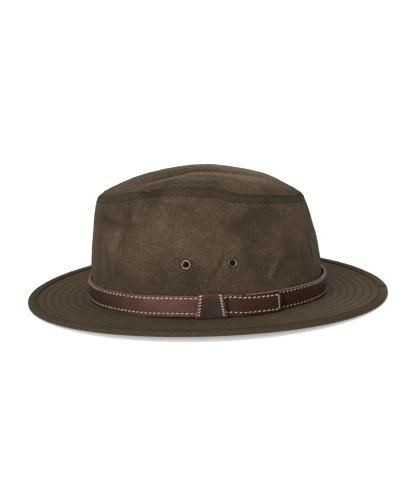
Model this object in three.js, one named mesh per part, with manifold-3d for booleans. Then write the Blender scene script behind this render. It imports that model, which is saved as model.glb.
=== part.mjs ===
// Bush hat: waxed cotton crown and brim, leather band with a keeper, brass eyelets.
// Millimetres, +Z up. The hat faces -X, its left side faces -Y, and it rests on the XY plane.
import * as THREE from 'three';
import { mergeVertices } from 'three/addons/utils/BufferGeometryUtils.js';
import Module from 'manifold-3d';

// Brim
const BRIM_LENGTH = 318.6;
const BRIM_WIDTH = 274;
const BRIM_THICKNESS = 2;
const BRIM_EDGE_THICKNESS = 1.6; // stitched flat under the binding
const BRIM_ARCH = 4; // how far the sides of the brim stand above its front and back
const BRIM_DIP = 2; // how far the sides sink from the binding in to the band
const BRIM_SHELF = 8; // level strip beside the crown, under the band
const REST_SHARE = 0.28; // share of the half width over which the front and back lie flat
const COLLAR_HEIGHT = 9; // seam allowance turned up inside the crown

// Binding round the edge of the brim
const BINDING_WIDTH = 8;
const BINDING_THICKNESS = 1;
const BINDING_ROUND = 1.4;
const JOIN_ANGLE = -1; // degrees round from the back, towards the right side
const JOIN_LAP = 12;
const JOIN_STEP = 0.6;

// Crown
const CROWN_LENGTH = 205;
const CROWN_WIDTH = 172;
const CROWN_FORWARD = 0.2; // how far the crown sits ahead of the middle of the brim
const CROWN_HEIGHT = 112.6;
const FRONT_LEAN = 12.8;
const BACK_LEAN = 21.5;
const SIDE_LEAN = 38;
const CLOTH_THICKNESS = 1.5;
const SEAM_LAP = 8; // the side wall covers this much of the tip's skirt

// Top panel
const CREST_LENGTH = 152;
const CREST_WIDTH = 34;
const DENT_DEPTH = 18;
const DENT_FLOOR_LENGTH = 74;
const DENT_FLOOR_WIDTH = 9;

// Pinch on each side of the front
const PINCH_DEPTH = 4.5;
const PINCH_BACK = 47; // from the front of the crown
const PINCH_LENGTH = 22;
const PINCH_HEIGHT = 94;
const PINCH_TALL = 15;

// Leather band and its keeper
const BAND_HEIGHT = 17.4;
const BAND_THICKNESS = 2.2;
const BAND_EDGE = 0.5;
const BAND_LOOSE = 1.1; // how far the band stands off the back of the crown
const TAIL_BACK = 59.5; // where the free tail ends, behind the middle of the crown
const TAIL_CORNER = 1.4;
const KEEPER_BACK = 2.7; // middle of the keeper, behind the middle of the crown
const KEEPER_TOP_WIDTH = 20;
const KEEPER_BOTTOM_WIDTH = 26.4;
const KEEPER_THICKNESS = 1.2;

// Eyelets
const EYELET_SIZE = 8.4;
const EYELET_HOLE = 5;
const EYELET_WALL = 0.5;
const EYELET_DOME = 0.9;
const EYELET_HEIGHT = 44.3; // up the side wall, from the brim
const EYELET_SPACING = 39.5;
const EYELET_BACK = 3.5; // middle of each pair, behind the middle of the crown

// Clearances
const GAP = 0.3;
const SEAM_GAP = 0.4;

// Fineness
const AROUND = 64;
const EYELET_SIDES = 14;

// Side wall from the brim up: share of the height, and share of each lean reached there
const WALL = [
  { rise: 0, front: 0, back: 0, side: 0 },
  { rise: 0.3, front: 0.05, back: 0.07, side: 0.07 },
  { rise: 0.46, front: 0.1, back: 0.17, side: 0.17 },
  { rise: 0.6, front: 0.19, back: 0.28, side: 0.29 },
  { rise: 0.72, front: 0.3, back: 0.41, side: 0.43 },
  { rise: 0.82, front: 0.42, back: 0.53, side: 0.59 },
  { rise: 0.9, front: 0.57, back: 0.66, side: 0.75 },
  { rise: 0.96, front: 0.72, back: 0.79, side: 0.88 },
  { rise: 1, front: 1, back: 1, side: 1 },
];

// Top of the crown from front to back: heights of the seam and of the crest, shares of the crown's height
const TOP = [
  { along: 0, seam: 0.816, crest: 0.823 },
  { along: 0.09, seam: 0.847, crest: 0.873 },
  { along: 0.24, seam: 0.907, crest: 0.93 },
  { along: 0.4, seam: 0.931, crest: 0.985 },
  { along: 0.5, seam: 0.927, crest: 1 },
  { along: 0.6, seam: 0.912, crest: 0.997 },
  { along: 0.75, seam: 0.878, crest: 0.964 },
  { along: 0.88, seam: 0.839, crest: 0.918 },
  { along: 1, seam: 0.793, crest: 0.816 },
];

// Soft upright folds in the side wall: degrees round from the back, spread in degrees,
// depth in shares of the cloth's thickness, and the shares of the height between which each one runs
const FOLDS = [
  { at: 8, spread: 6, depth: 0.7, from: 0.25, to: 0.6 },
  { at: 352, spread: 5, depth: -0.7, from: 0.22, to: 0.55 },
  { at: 336, spread: 6, depth: 0.6, from: 0.24, to: 0.8 },
  { at: 318, spread: 5, depth: -0.5, from: 0.3, to: 0.75 },
  { at: 283, spread: 3.5, depth: -0.6, from: 0.2, to: 0.5 },
  { at: 216, spread: 6, depth: -0.6, from: 0.3, to: 0.85 },
  { at: 200, spread: 5, depth: 0.7, from: 0.22, to: 0.9 },
  { at: 186, spread: 5, depth: -0.7, from: 0.25, to: 0.8 },
  { at: 152, spread: 7, depth: 0.6, from: 0.3, to: 0.8 },
  { at: 118, spread: 6, depth: -0.5, from: 0.25, to: 0.7 },
  { at: 64, spread: 6, depth: 0.6, from: 0.25, to: 0.75 },
  { at: 38, spread: 6, depth: -0.6, from: 0.25, to: 0.7 },
];

// Course of the strap in degrees from the back: how much of the keeper, of its own first turn
// and of the loose stand-off lies under it, and how far the keeper lifts it
const COURSE = [
  { at: 288, keeper: 0, turn: 0, loose: 0, lift: 0 },
  { at: 315, keeper: 0, turn: 0, loose: 0.3, lift: 0 },
  { at: 352, keeper: 0, turn: 0, loose: 1, lift: 0 },
  { at: 395, keeper: 0, turn: 0, loose: 0, lift: 0 },
  { at: 596, keeper: 0, turn: 0, loose: 0, lift: 0 },
  { at: 616, keeper: 1, turn: 0, loose: 0, lift: 1 },
  { at: 640, keeper: 1, turn: 0, loose: 0, lift: 1 },
  { at: 647, keeper: 0, turn: 1, loose: 0, lift: 0.7 },
  { at: 665, keeper: 0, turn: 1, loose: 0.25, lift: 0 },
  { at: 720, keeper: 0, turn: 1, loose: 1, lift: 0 },
];

const TURN = 2 * Math.PI;
const DEGREE = Math.PI / 180;
const CROWN_MIDDLE = -CROWN_FORWARD;
const BINDING_TALL = BRIM_EDGE_THICKNESS + 2 * (BINDING_THICKNESS + GAP);
const BRIM_TOP = (BINDING_TALL + BRIM_THICKNESS) / 2;
const BRIM_UNDER = BRIM_TOP - BRIM_THICKNESS;
const LAP_RISE = 1 - SEAM_LAP / CROWN_HEIGHT;
const WALL_RISES = [0, 0.12, 0.25, 0.38, 0.5, 0.6, 0.7, 0.79, 0.87, LAP_RISE, (1 + LAP_RISE) / 2, 1];
const ANGLES = Array.from({ length: AROUND }, (_, i) => (i / AROUND) * TURN);

// A smooth curve through the rows of a table
function read(table, key, column, at) {
  const last = table.length - 1;
  let i = 0;
  while (i < last - 1 && at > table[i + 1][key]) {
    i += 1;
  }
  const slope = (a, b) => (table[b][column] - table[a][column]) / (table[b][key] - table[a][key]);
  const here = slope(i, i + 1);
  const before = i > 0 ? (slope(i - 1, i) + here) / 2 : here;
  const after = i < last - 1 ? (here + slope(i + 1, i + 2)) / 2 : here;
  const step = table[i + 1][key] - table[i][key];
  const u = (at - table[i][key]) / step;
  const rest = 1 - u;
  const ends = table[i][column] * rest * rest * (1 + 2 * u) + table[i + 1][column] * u * u * (3 - 2 * u);
  return ends + step * u * rest * (before * rest - after * u);
}

// An eased step between the rows of a table, flat at each row
function ease(table, key, column, at) {
  const next = table.findIndex((row) => row[key] >= at);
  if (next < 1) {
    return table[next < 0 ? table.length - 1 : 0][column];
  }
  const u = (at - table[next - 1][key]) / (table[next][key] - table[next - 1][key]);
  return THREE.MathUtils.lerp(table[next - 1][column], table[next][column], u * u * (3 - 2 * u));
}

// How clear an angle lies of the level front and back of the brim, up to 1 at its sides
function sideShare(angle) {
  return Math.max(0, (Math.abs(Math.sin(angle)) - REST_SHARE) / (1 - REST_SHARE));
}

// How far the edge of the brim stands up at an angle round it
function arch(angle) {
  return BRIM_ARCH * sideShare(angle) ** 1.5;
}

// How far the brim stands up where the crown meets it
function footArch(angle) {
  return arch(angle) - BRIM_DIP * sideShare(angle) ** 3;
}

// Signed difference between two angles
function turnedFrom(angle, other) {
  return Math.atan2(Math.sin(angle - other), Math.cos(angle - other));
}

// Height of the seam or the crest above the brim, at a share of the way from front to back
function topHeight(column, along) {
  return CROWN_HEIGHT * read(TOP, 'along', column, along);
}

// How far the folds push the side wall out
function foldAt(angle, rise) {
  let push = 0;
  for (const fold of FOLDS) {
    const middle = (fold.from + fold.to) / 2;
    const half = (fold.to - fold.from) / 2;
    const up = (rise - middle) / half;
    if (Math.abs(up) < 1) {
      const round = turnedFrom(angle, fold.at * DEGREE) / (fold.spread * DEGREE);
      push += fold.depth * CLOTH_THICKNESS * Math.exp(-round * round) * (1 - up * up) ** 2;
    }
  }
  return push;
}

// The pinch moves a point of the crown towards the middle
function pinched(point) {
  const front = CROWN_MIDDLE - CROWN_LENGTH / 2;
  const along = (point.x - front - PINCH_BACK) / PINCH_LENGTH;
  const up = (point.z - PINCH_HEIGHT) / PINCH_TALL;
  const out = Math.min(1, Math.abs(point.y) / (CREST_WIDTH / 2));
  const push = PINCH_DEPTH * Math.exp(-along * along - up * up) * out * out;
  point.y -= Math.sign(point.y) * push;
  return point;
}

// Middle, half length and half width of the side wall at a share of its height
function wallOval(rise) {
  const front = CROWN_MIDDLE - CROWN_LENGTH / 2 + FRONT_LEAN * read(WALL, 'rise', 'front', rise);
  const back = CROWN_MIDDLE + CROWN_LENGTH / 2 - BACK_LEAN * read(WALL, 'rise', 'back', rise);
  return {
    middle: (front + back) / 2,
    halfLength: (back - front) / 2,
    halfWidth: CROWN_WIDTH / 2 - SIDE_LEAN * read(WALL, 'rise', 'side', rise),
  };
}

// Direction square to an oval at an angle, in plan
function ovalNormal(oval, angle) {
  return new THREE.Vector3(oval.halfWidth * Math.cos(angle), oval.halfLength * Math.sin(angle), 0).normalize();
}

// A point of the side wall's outer face, moved out by a distance
function wallPoint(angle, rise, out = 0) {
  const oval = wallOval(rise);
  const foot = BRIM_TOP + GAP + footArch(angle);
  const head = BRIM_TOP + topHeight('seam', (1 + Math.cos(angle)) / 2);
  const point = new THREE.Vector3(
    oval.middle + oval.halfLength * Math.cos(angle),
    oval.halfWidth * Math.sin(angle),
    THREE.MathUtils.lerp(foot, head, rise),
  );
  point.addScaledVector(ovalNormal(oval, angle), out + foldAt(angle, rise));
  return pinched(point);
}

// The share of the wall's height that lies a distance above the brim
function riseAt(angle, height) {
  const foot = footArch(angle) + GAP;
  const head = topHeight('seam', (1 + Math.cos(angle)) / 2);
  return (footArch(angle) + height - foot) / (head - foot);
}

// A point of a centred oval at an angle and a height
function ovalPoint(middle, length, width, angle, height) {
  return new THREE.Vector3(
    middle + (length / 2) * Math.cos(angle),
    (width / 2) * Math.sin(angle),
    height,
  );
}

// The same rings, moved along the skin's own normals
function offsetRings(rings, distance) {
  return rings.map((ring, i) => ring.map((point, j) => {
    const round = ring[(j + 1) % ring.length].clone().sub(ring[(j + ring.length - 1) % ring.length]);
    const across = rings[Math.min(i + 1, rings.length - 1)][j].clone().sub(rings[Math.max(i - 1, 0)][j]);
    return point.clone().addScaledVector(round.cross(across).normalize(), distance);
  }));
}

// A closed mesh through rings of points: a loop of rings, or a row of rings with closed ends
function loft(rings, isLoop) {
  const size = rings[0].length;
  const points = rings.flat();
  const faces = [];
  const steps = isLoop ? rings.length : rings.length - 1;
  for (let i = 0; i < steps; i += 1) {
    for (let j = 0; j < size; j += 1) {
      const a = i * size + j;
      const b = i * size + ((j + 1) % size);
      const shift = i + 1 < rings.length ? size : -i * size;
      faces.push(a, b, b + shift, a, b + shift, a + shift);
    }
  }
  if (!isLoop) {
    const middle = (ring) => ring.reduce((sum, p) => sum.add(p), new THREE.Vector3()).divideScalar(size);
    points.push(middle(rings[0]), middle(rings[steps]));
    for (let j = 0; j < size; j += 1) {
      const next = (j + 1) % size;
      faces.push(points.length - 2, next, j);
      faces.push(steps * size + j, steps * size + next, points.length - 1);
    }
  }
  const geometry = new THREE.BufferGeometry().setFromPoints(points);
  geometry.setIndex(faces);
  return facingOut(geometry);
}

// Six times the signed volume that a mesh holds
function signedVolume(geometry) {
  const at = geometry.getAttribute('position');
  const index = geometry.getIndex().array;
  const corners = [new THREE.Vector3(), new THREE.Vector3(), new THREE.Vector3()];
  let sum = 0;
  for (let i = 0; i < index.length; i += 3) {
    corners.forEach((corner, k) => corner.fromBufferAttribute(at, index[i + k]));
    sum += corners[0].dot(corners[1].clone().cross(corners[2]));
  }
  return sum;
}

// The mesh with its faces turned outwards
function facingOut(geometry) {
  if (signedVolume(geometry) < 0) {
    geometry.setIndex(Array.from(geometry.getIndex().array).reverse());
  }
  return geometry;
}

const library = await Module();
library.setup();

// A solid from a mesh, for cutting
function solid(geometry) {
  const bare = geometry.clone();
  bare.deleteAttribute('normal');
  bare.deleteAttribute('uv');
  const merged = mergeVertices(bare);
  return new library.Manifold(new library.Mesh({
    numProp: 3,
    vertProperties: merged.getAttribute('position').array,
    triVerts: merged.getIndex().array,
  }));
}

// A mesh from a cut solid
function meshOf(body) {
  const mesh = body.getMesh();
  const geometry = new THREE.BufferGeometry();
  geometry.setAttribute('position', new THREE.BufferAttribute(new Float32Array(mesh.vertProperties), 3));
  geometry.setIndex(Array.from(mesh.triVerts));
  return geometry;
}

const cloth = new THREE.MeshStandardMaterial({ color: 0x4d4334, roughness: 0.72, metalness: 0 });
const bindingCloth = new THREE.MeshStandardMaterial({ color: 0x4a4032, roughness: 0.7, metalness: 0 });
const bandLeather = new THREE.MeshStandardMaterial({ color: 0x4a2e27, roughness: 0.5, metalness: 0 });
const keeperLeather = new THREE.MeshStandardMaterial({ color: 0x3a2e2c, roughness: 0.55, metalness: 0 });
const brass = new THREE.MeshStandardMaterial({ color: 0x8d7b58, roughness: 0.4, metalness: 1 });

// A named sub-part
function subPart(name, geometry, material) {
  geometry.computeVertexNormals();
  const mesh = new THREE.Mesh(geometry, material);
  mesh.name = name;
  return mesh;
}

// Places of the four eyelets
function eyeletPlaces() {
  const places = [];
  for (const side of [{ name: 'left', turn: -1 }, { name: 'right', turn: 1 }]) {
    for (const end of [{ name: 'front', way: -1 }, { name: 'back', way: 1 }]) {
      const back = EYELET_BACK + (end.way * EYELET_SPACING) / 2;
      const angle = side.turn * Math.acos(back / (CROWN_LENGTH / 2));
      const rise = riseAt(angle, EYELET_HEIGHT);
      const step = 0.02;
      const round = wallPoint(angle + step, rise).sub(wallPoint(angle - step, rise));
      const up = wallPoint(angle, rise + step).sub(wallPoint(angle, rise - step));
      places.push({
        name: `eyelet_${side.name}_${end.name}`,
        point: wallPoint(angle, rise),
        normal: round.cross(up).normalize(),
      });
    }
  }
  return places;
}

// Side wall, with a round hole for each eyelet
function crownSide(rings) {
  let wall = solid(loft([...rings, ...offsetRings(rings, -CLOTH_THICKNESS).reverse()], true));
  const bore = EYELET_HOLE / 2 + EYELET_WALL + GAP;
  for (const place of eyeletPlaces()) {
    const cutter = new THREE.CylinderGeometry(bore, bore, CLOTH_THICKNESS * 6, EYELET_SIDES);
    cutter.applyQuaternion(new THREE.Quaternion().setFromUnitVectors(new THREE.Vector3(0, 1, 0), place.normal));
    cutter.translate(place.point.x, place.point.y, place.point.z);
    wall = wall.subtract(solid(cutter));
  }
  return subPart('crown_side', meshOf(wall), cloth);
}

// Top panel: a skirt inside the side wall, up over the crest and down into the dent
function crownTip(rings) {
  const skirt = offsetRings(rings, -(CLOTH_THICKNESS + SEAM_GAP)).slice(WALL_RISES.indexOf(LAP_RISE));
  const edge = skirt[skirt.length - 1];
  const middle = wallOval(1).middle;
  const crest = ANGLES.map((angle) => {
    const height = BRIM_TOP + topHeight('crest', (1 + Math.cos(angle)) / 2);
    return ovalPoint(middle, CREST_LENGTH, CREST_WIDTH, angle, height);
  });
  const floor = ANGLES.map((angle) => (
    ovalPoint(middle, DENT_FLOOR_LENGTH, DENT_FLOOR_WIDTH, angle, BRIM_TOP + CROWN_HEIGHT - DENT_DEPTH)
  ));
  const shoulder = [0.2, 0.45, 0.72, 1].map((share) => edge.map((point, j) => {
    const place = point.clone().lerp(crest[j], share);
    place.z = THREE.MathUtils.lerp(point.z, crest[j].z, Math.sin((share * Math.PI) / 2));
    return place;
  }));
  const dent = [0.2, 0.4, 0.6, 0.8, 1].map((share) => crest.map((point, j) => {
    const place = point.clone().lerp(floor[j], share);
    place.z = THREE.MathUtils.lerp(point.z, floor[j].z, (1 - Math.cos(share * Math.PI)) / 2);
    return place;
  }));
  const skin = [...skirt, ...shoulder, ...dent];
  return subPart('crown_tip', loft([...offsetRings(skin, -CLOTH_THICKNESS).reverse(), ...skin], false), cloth);
}

// Outline of the brim, moved in by a distance
function brimPoint(angle, inset, height) {
  const oval = { halfLength: BRIM_LENGTH / 2, halfWidth: BRIM_WIDTH / 2 };
  return ovalPoint(0, BRIM_LENGTH, BRIM_WIDTH, angle, arch(angle) + height)
    .addScaledVector(ovalNormal(oval, angle), -inset);
}

// Brim, with the collar that turns up inside the crown
function brim() {
  const collar = (inset, up) => ANGLES.map((angle) => {
    const point = wallPoint(angle, Math.max(0, riseAt(angle, up)), -inset);
    point.z = BRIM_TOP + up + footArch(angle);
    return point;
  });
  const outer = CLOTH_THICKNESS + GAP;
  const inner = outer + CLOTH_THICKNESS;
  const flat = (inset, height) => ANGLES.map((angle) => brimPoint(angle, inset, height));
  const ledge = BINDING_WIDTH + GAP;
  const edge = BINDING_THICKNESS + GAP;
  const thinner = (BRIM_THICKNESS - BRIM_EDGE_THICKNESS) / 2;
  return subPart('brim', loft([
    collar(outer, 0),
    collar(outer, COLLAR_HEIGHT),
    collar(inner, COLLAR_HEIGHT),
    collar(inner, -BRIM_THICKNESS),
    collar(-BRIM_SHELF, -BRIM_THICKNESS),
    flat(ledge, BRIM_UNDER),
    flat(ledge, BRIM_UNDER + thinner),
    flat(edge, BRIM_UNDER + thinner),
    flat(edge, BRIM_TOP - thinner),
    flat(ledge, BRIM_TOP - thinner),
    flat(ledge, BRIM_TOP),
    collar(-BRIM_SHELF, 0),
  ], true), cloth);
}

// Binding folded round the edge of the brim, with its end lapped over its start
function brimBinding() {
  const join = JOIN_ANGLE * DEGREE;
  const lap = JOIN_LAP / (BRIM_WIDTH / 2);
  const cliff = 0.1 * DEGREE;
  const around = [...ANGLES, join - cliff, join, join + lap].sort((a, b) => a - b);
  const stepAt = (angle) => (
    angle < join || angle > join + lap ? 0 : JOIN_STEP * (1 - (angle - join) / lap)
  );
  const ring = (inset, height, isOuter) => around.map((angle) => (
    brimPoint(angle, inset, height + (isOuter && height > 0 ? stepAt(angle) : 0))
  ));
  const inside = BINDING_THICKNESS;
  return subPart('brim_binding', loft([
    ring(BINDING_WIDTH, 0, true),
    ring(BINDING_ROUND, 0, true),
    ring(0, BINDING_ROUND, true),
    ring(0, BINDING_TALL - BINDING_ROUND, true),
    ring(BINDING_ROUND, BINDING_TALL, true),
    ring(BINDING_WIDTH, BINDING_TALL, true),
    ring(BINDING_WIDTH, BINDING_TALL - inside, false),
    ring(inside, BINDING_TALL - inside, false),
    ring(inside, inside, false),
    ring(BINDING_WIDTH, inside, false),
  ], true), bindingCloth);
}

// A point beside the crown: a distance out from the wall and a height above the brim
function beside(angle, out, height) {
  return wallPoint(angle, riseAt(angle, height), out);
}

// Where the strap runs at an angle of its course: its distance from the wall and from the brim
function strapAt(angle) {
  const at = angle / DEGREE;
  return {
    out: GAP + ease(COURSE, 'at', 'keeper', at) * (KEEPER_THICKNESS + GAP)
      + ease(COURSE, 'at', 'turn', at) * (BAND_THICKNESS + GAP)
      + ease(COURSE, 'at', 'loose', at) * BAND_LOOSE,
    up: GAP + ease(COURSE, 'at', 'lift', at) * (KEEPER_THICKNESS + GAP),
  };
}

// One strap, from its hidden start round the crown, through the keeper and out to its free tail
function hatBand() {
  const start = COURSE[0].at * DEGREE;
  const end = 2 * TURN - Math.acos(TAIL_BACK / (CROWN_LENGTH / 2));
  const corner = TAIL_CORNER / (CROWN_WIDTH / 2);
  const stops = [start, end - corner];
  for (let k = Math.ceil(start / (TURN / AROUND) + 0.2); k * (TURN / AROUND) < end - 2 * corner; k += 1) {
    stops.push(k * (TURN / AROUND));
  }
  const section = (angle, trim) => {
    const { out, up } = strapAt(angle);
    const low = up + trim;
    const high = up + BAND_HEIGHT - trim;
    const far = out + BAND_THICKNESS;
    return [
      beside(angle, out, low),
      beside(angle, far - BAND_EDGE, low),
      beside(angle, far, low + BAND_EDGE),
      beside(angle, far, high - BAND_EDGE),
      beside(angle, far - BAND_EDGE, high),
      beside(angle, out, high),
    ];
  };
  const rings = stops.sort((a, b) => a - b).map((angle) => section(angle, 0));
  return subPart('hat_band', loft([...rings, section(end, TAIL_CORNER)], false), bandLeather);
}

// Loop round the strap, wider at its foot
function bandKeeper() {
  const middle = TURN - Math.acos(KEEPER_BACK / (CROWN_LENGTH / 2));
  const loop = (share, grow) => {
    const near = GAP + KEEPER_THICKNESS - grow;
    const far = GAP + KEEPER_THICKNESS + 2 * GAP + BAND_THICKNESS + grow;
    const low = GAP + KEEPER_THICKNESS - grow;
    const high = GAP + KEEPER_THICKNESS + 2 * GAP + BAND_HEIGHT + grow;
    const at = (out, height) => {
      const wide = THREE.MathUtils.lerp(KEEPER_BOTTOM_WIDTH, KEEPER_TOP_WIDTH, (height - low) / (high - low));
      const reach = wallOval(0).halfLength + out;
      return beside(middle + (share * wide) / 2 / reach, out, height);
    };
    const round = grow / 2;
    return [
      at(near, low + round),
      at(near + round, low),
      at(far - round, low),
      at(far, low + round),
      at(far, high - round),
      at(far - round, high),
      at(near + round, high),
      at(near, high - round),
    ];
  };
  const shares = [-1, -0.6, -0.2, 0.2, 0.6, 1];
  const outer = shares.map((share) => loop(share, KEEPER_THICKNESS));
  const inner = shares.map((share) => loop(share, 0));
  return subPart('band_keeper', loft([...outer, ...inner.reverse()], true), keeperLeather);
}

// A rolled brass eyelet that grips both faces of the side wall
function eyelet(place) {
  const bore = EYELET_HOLE / 2;
  const rim = EYELET_SIZE / 2;
  const face = GAP;
  const foot = -CLOTH_THICKNESS - GAP;
  const profile = [
    [bore, foot - EYELET_WALL],
    [rim, foot - EYELET_WALL],
    [rim, foot],
    [bore + EYELET_WALL, foot],
    [bore + EYELET_WALL, face],
    [rim, face],
    [rim - EYELET_WALL / 2, face + EYELET_DOME * 0.7],
    [(rim + bore) / 2, face + EYELET_DOME],
    [bore + EYELET_WALL / 4, face + EYELET_DOME * 0.7],
    [bore, face],
    [bore, foot - EYELET_WALL],
  ].map(([radius, height]) => new THREE.Vector2(radius, height));
  const lathe = new THREE.LatheGeometry(profile, EYELET_SIDES);
  lathe.deleteAttribute('normal');
  lathe.deleteAttribute('uv');
  const mesh = subPart(place.name, facingOut(mergeVertices(lathe)), brass);
  mesh.quaternion.setFromUnitVectors(new THREE.Vector3(0, 1, 0), place.normal);
  mesh.position.copy(place.point);
  return mesh;
}

const wallRings = WALL_RISES.map((rise) => ANGLES.map((angle) => wallPoint(angle, rise)));

const hat = new THREE.Group();
hat.add(crownSide(wallRings));
hat.add(crownTip(wallRings));
hat.add(brim());
hat.add(brimBinding());
hat.add(hatBand());
hat.add(bandKeeper());
hat.add(...eyeletPlaces().map((place) => eyelet(place)));

export default hat;
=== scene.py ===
import math
import random

import bpy
import numpy as np
from mathutils import Matrix, Quaternion, Vector, noise


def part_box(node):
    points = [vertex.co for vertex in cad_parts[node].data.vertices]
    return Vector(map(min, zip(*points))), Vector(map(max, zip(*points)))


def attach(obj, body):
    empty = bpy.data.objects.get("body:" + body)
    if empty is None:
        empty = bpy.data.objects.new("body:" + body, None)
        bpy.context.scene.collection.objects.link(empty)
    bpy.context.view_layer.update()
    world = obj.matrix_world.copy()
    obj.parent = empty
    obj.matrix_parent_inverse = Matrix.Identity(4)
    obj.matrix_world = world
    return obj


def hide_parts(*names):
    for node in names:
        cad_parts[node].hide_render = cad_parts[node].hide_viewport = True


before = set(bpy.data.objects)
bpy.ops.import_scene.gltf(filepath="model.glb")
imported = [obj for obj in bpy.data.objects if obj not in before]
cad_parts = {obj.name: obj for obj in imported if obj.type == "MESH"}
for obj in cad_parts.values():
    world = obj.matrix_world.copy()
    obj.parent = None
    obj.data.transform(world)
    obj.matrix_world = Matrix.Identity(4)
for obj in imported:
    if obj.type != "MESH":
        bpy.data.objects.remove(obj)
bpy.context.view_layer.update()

# Lengths are in metres. The hat faces -X, its left side faces -Y, and +Z is up.
MM = 0.001

# Sizes read from the frame
BRIM_HALF_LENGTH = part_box("brim_binding")[1].x
BRIM_HALF_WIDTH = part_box("brim_binding")[1].y
CROWN_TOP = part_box("crown_tip")[1].z

# Cloth
CLOTH = 1.5 * MM
BRIM_THICK = 2 * MM
BRIM_EDGE_THICK = 1.6 * MM
BINDING_THICK = 1 * MM
BINDING_WIDE = 8 * MM
GAP = 0.3 * MM
SEAM_GAP = 0.4 * MM
BINDING_TALL = BRIM_EDGE_THICK + 2 * (BINDING_THICK + GAP)
BRIM_TOP = (BINDING_TALL + BRIM_THICK) / 2
BRIM_UNDER = BRIM_TOP - BRIM_THICK
BRIM_ARCH = 4 * MM
BRIM_DIP = 2 * MM
BRIM_SHELF = 8 * MM
REST_SHARE = 0.28
COLLAR_TALL = 9 * MM
JOIN_ANGLE = math.radians(-1)
JOIN_LAP = 12 * MM
JOIN_STEP = 0.6 * MM

# Crown
CROWN_MIDDLE = -0.2 * MM
CROWN_HALF_LENGTH = 102.5 * MM
CROWN_HALF_WIDTH = 86 * MM
CROWN_TALL = CROWN_TOP - BRIM_TOP
FRONT_LEAN = 12.8 * MM
BACK_LEAN = 21.5 * MM
SIDE_LEAN = 38 * MM
CREST_HALF_LENGTH = 76 * MM
CREST_HALF_WIDTH = 17 * MM
DENT_DEEP = 18 * MM
DENT_HALF_LENGTH = 37 * MM
DENT_HALF_WIDTH = 4.5 * MM
PINCH = {"deep": 4.5 * MM, "back": 47 * MM, "long": 22 * MM, "high": 94 * MM, "tall": 15 * MM}

# Band, keeper and eyelets
BAND_TALL = 17.4 * MM
BAND_THICK = 2.2 * MM
BAND_LOOSE = 1.1 * MM
BAND_EDGE_ROUND = 0.6 * MM
BAND_LOW_ROW = 2.8 * MM
BAND_HIGH_ROW = 15.6 * MM
TAIL_BACK = 59.5 * MM
TAIL_NARROW = 0.9 * MM
KEEPER_BACK = 2.7 * MM
KEEPER_TOP_WIDE = 20 * MM
KEEPER_FOOT_WIDE = 26.4 * MM
KEEPER_THICK = 1.2 * MM
KEEPER_STITCH_AT = 0.82
KEEPER_NEAR = GAP + KEEPER_THICK
KEEPER_FAR = KEEPER_NEAR + BAND_THICK + 2 * GAP
KEEPER_LOW = GAP + KEEPER_THICK
KEEPER_HIGH = KEEPER_LOW + BAND_TALL + 2 * GAP
EYELET_HIGH = 44.3 * MM
EYELET_SPACING = 39.5 * MM
EYELET_BACK = 3.5 * MM
EYELET_HOLE = 2.5 * MM
EYELET_RIM = 4.3 * MM

# Sewing
BRIM_FIRST_ROW = 14.6 * MM
BRIM_ROW_PITCH = 6.8 * MM
BRIM_ROWS = 6
BINDING_ROW_IN = 6.7 * MM
SEAM_FIRST_ROW = 1.3 * MM
SEWN_DEEP = 0.3 * MM

# Kinds of stitch: distance from one to the next and the share of it that they stray by, slant in radians,
# length, half the thread's thickness and how far it bows up
SEAM_STITCH = {"pitch": 2.9 * MM, "stray": 0.05, "slant": 0.05,
               "long": 1.7 * MM, "thick": 0.4 * MM, "bow": 0.1 * MM}
BRIM_STITCH = {"pitch": 3.3 * MM, "stray": 0.08, "slant": 0.0,
               "long": 2.3 * MM, "thick": 0.24 * MM, "bow": 0.1 * MM}
BAND_STITCH = {"pitch": 4.1 * MM, "stray": 0.04, "slant": 0.32,
               "long": 3.4 * MM, "thick": 0.42 * MM, "bow": 0.1 * MM}
TAIL_STITCH = {"pitch": 2.6 * MM, "stray": 0.03, "slant": 0.3}
KEEPER_STITCH = {"stray": 0.03, "long": 3.3 * MM, "thick": 0.5 * MM, "bow": 0.45 * MM}
KEEPER_SIDES = ({"way": -1, "pitch": 2.7 * MM, "slant": -0.85}, {"way": 1, "pitch": 2.4 * MM, "slant": 0.85})

# How finely the cloth is modelled
AROUND = 448
TURN = 2 * math.pi
ANGLES = np.arange(AROUND) / AROUND * TURN

# Side wall from the brim up: share of the height, and share of each lean reached there
WALL = {
    "rise": (0, 0.3, 0.46, 0.6, 0.72, 0.82, 0.9, 0.96, 1),
    "front": (0, 0.05, 0.1, 0.19, 0.3, 0.42, 0.57, 0.72, 1),
    "back": (0, 0.07, 0.17, 0.28, 0.41, 0.53, 0.66, 0.79, 1),
    "side": (0, 0.07, 0.17, 0.29, 0.43, 0.59, 0.75, 0.88, 1),
}

# Top of the crown from front to back: heights of the seam and of the crest, shares of the crown's height
TOP = {
    "along": (0, 0.09, 0.24, 0.4, 0.5, 0.6, 0.75, 0.88, 1),
    "seam": (0.816, 0.854, 0.907, 0.931, 0.927, 0.912, 0.878, 0.845, 0.797),
    "crest": (0.835, 0.886, 0.93, 0.976, 0.994, 0.988, 0.956, 0.91, 0.834),
}

# Folded top edge of the side wall, from front to back: how far it strays from the top of the wall
# (up is positive) and how far below it the second row of stitches runs, both in millimetres
SEAM_LINE = {
    "along": (0, 0.12, 0.25, 0.36, 0.48, 0.58, 0.64, 0.74, 0.86, 1),
    "shift": (0, -1, 0.6, 2, 0.6, 0.6, -2.2, -3.2, -3.6, -2.6),
    "lap": (5, 5.5, 6.2, 7, 7, 7, 6.2, 5.4, 4.8, 4.6),
}

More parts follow.
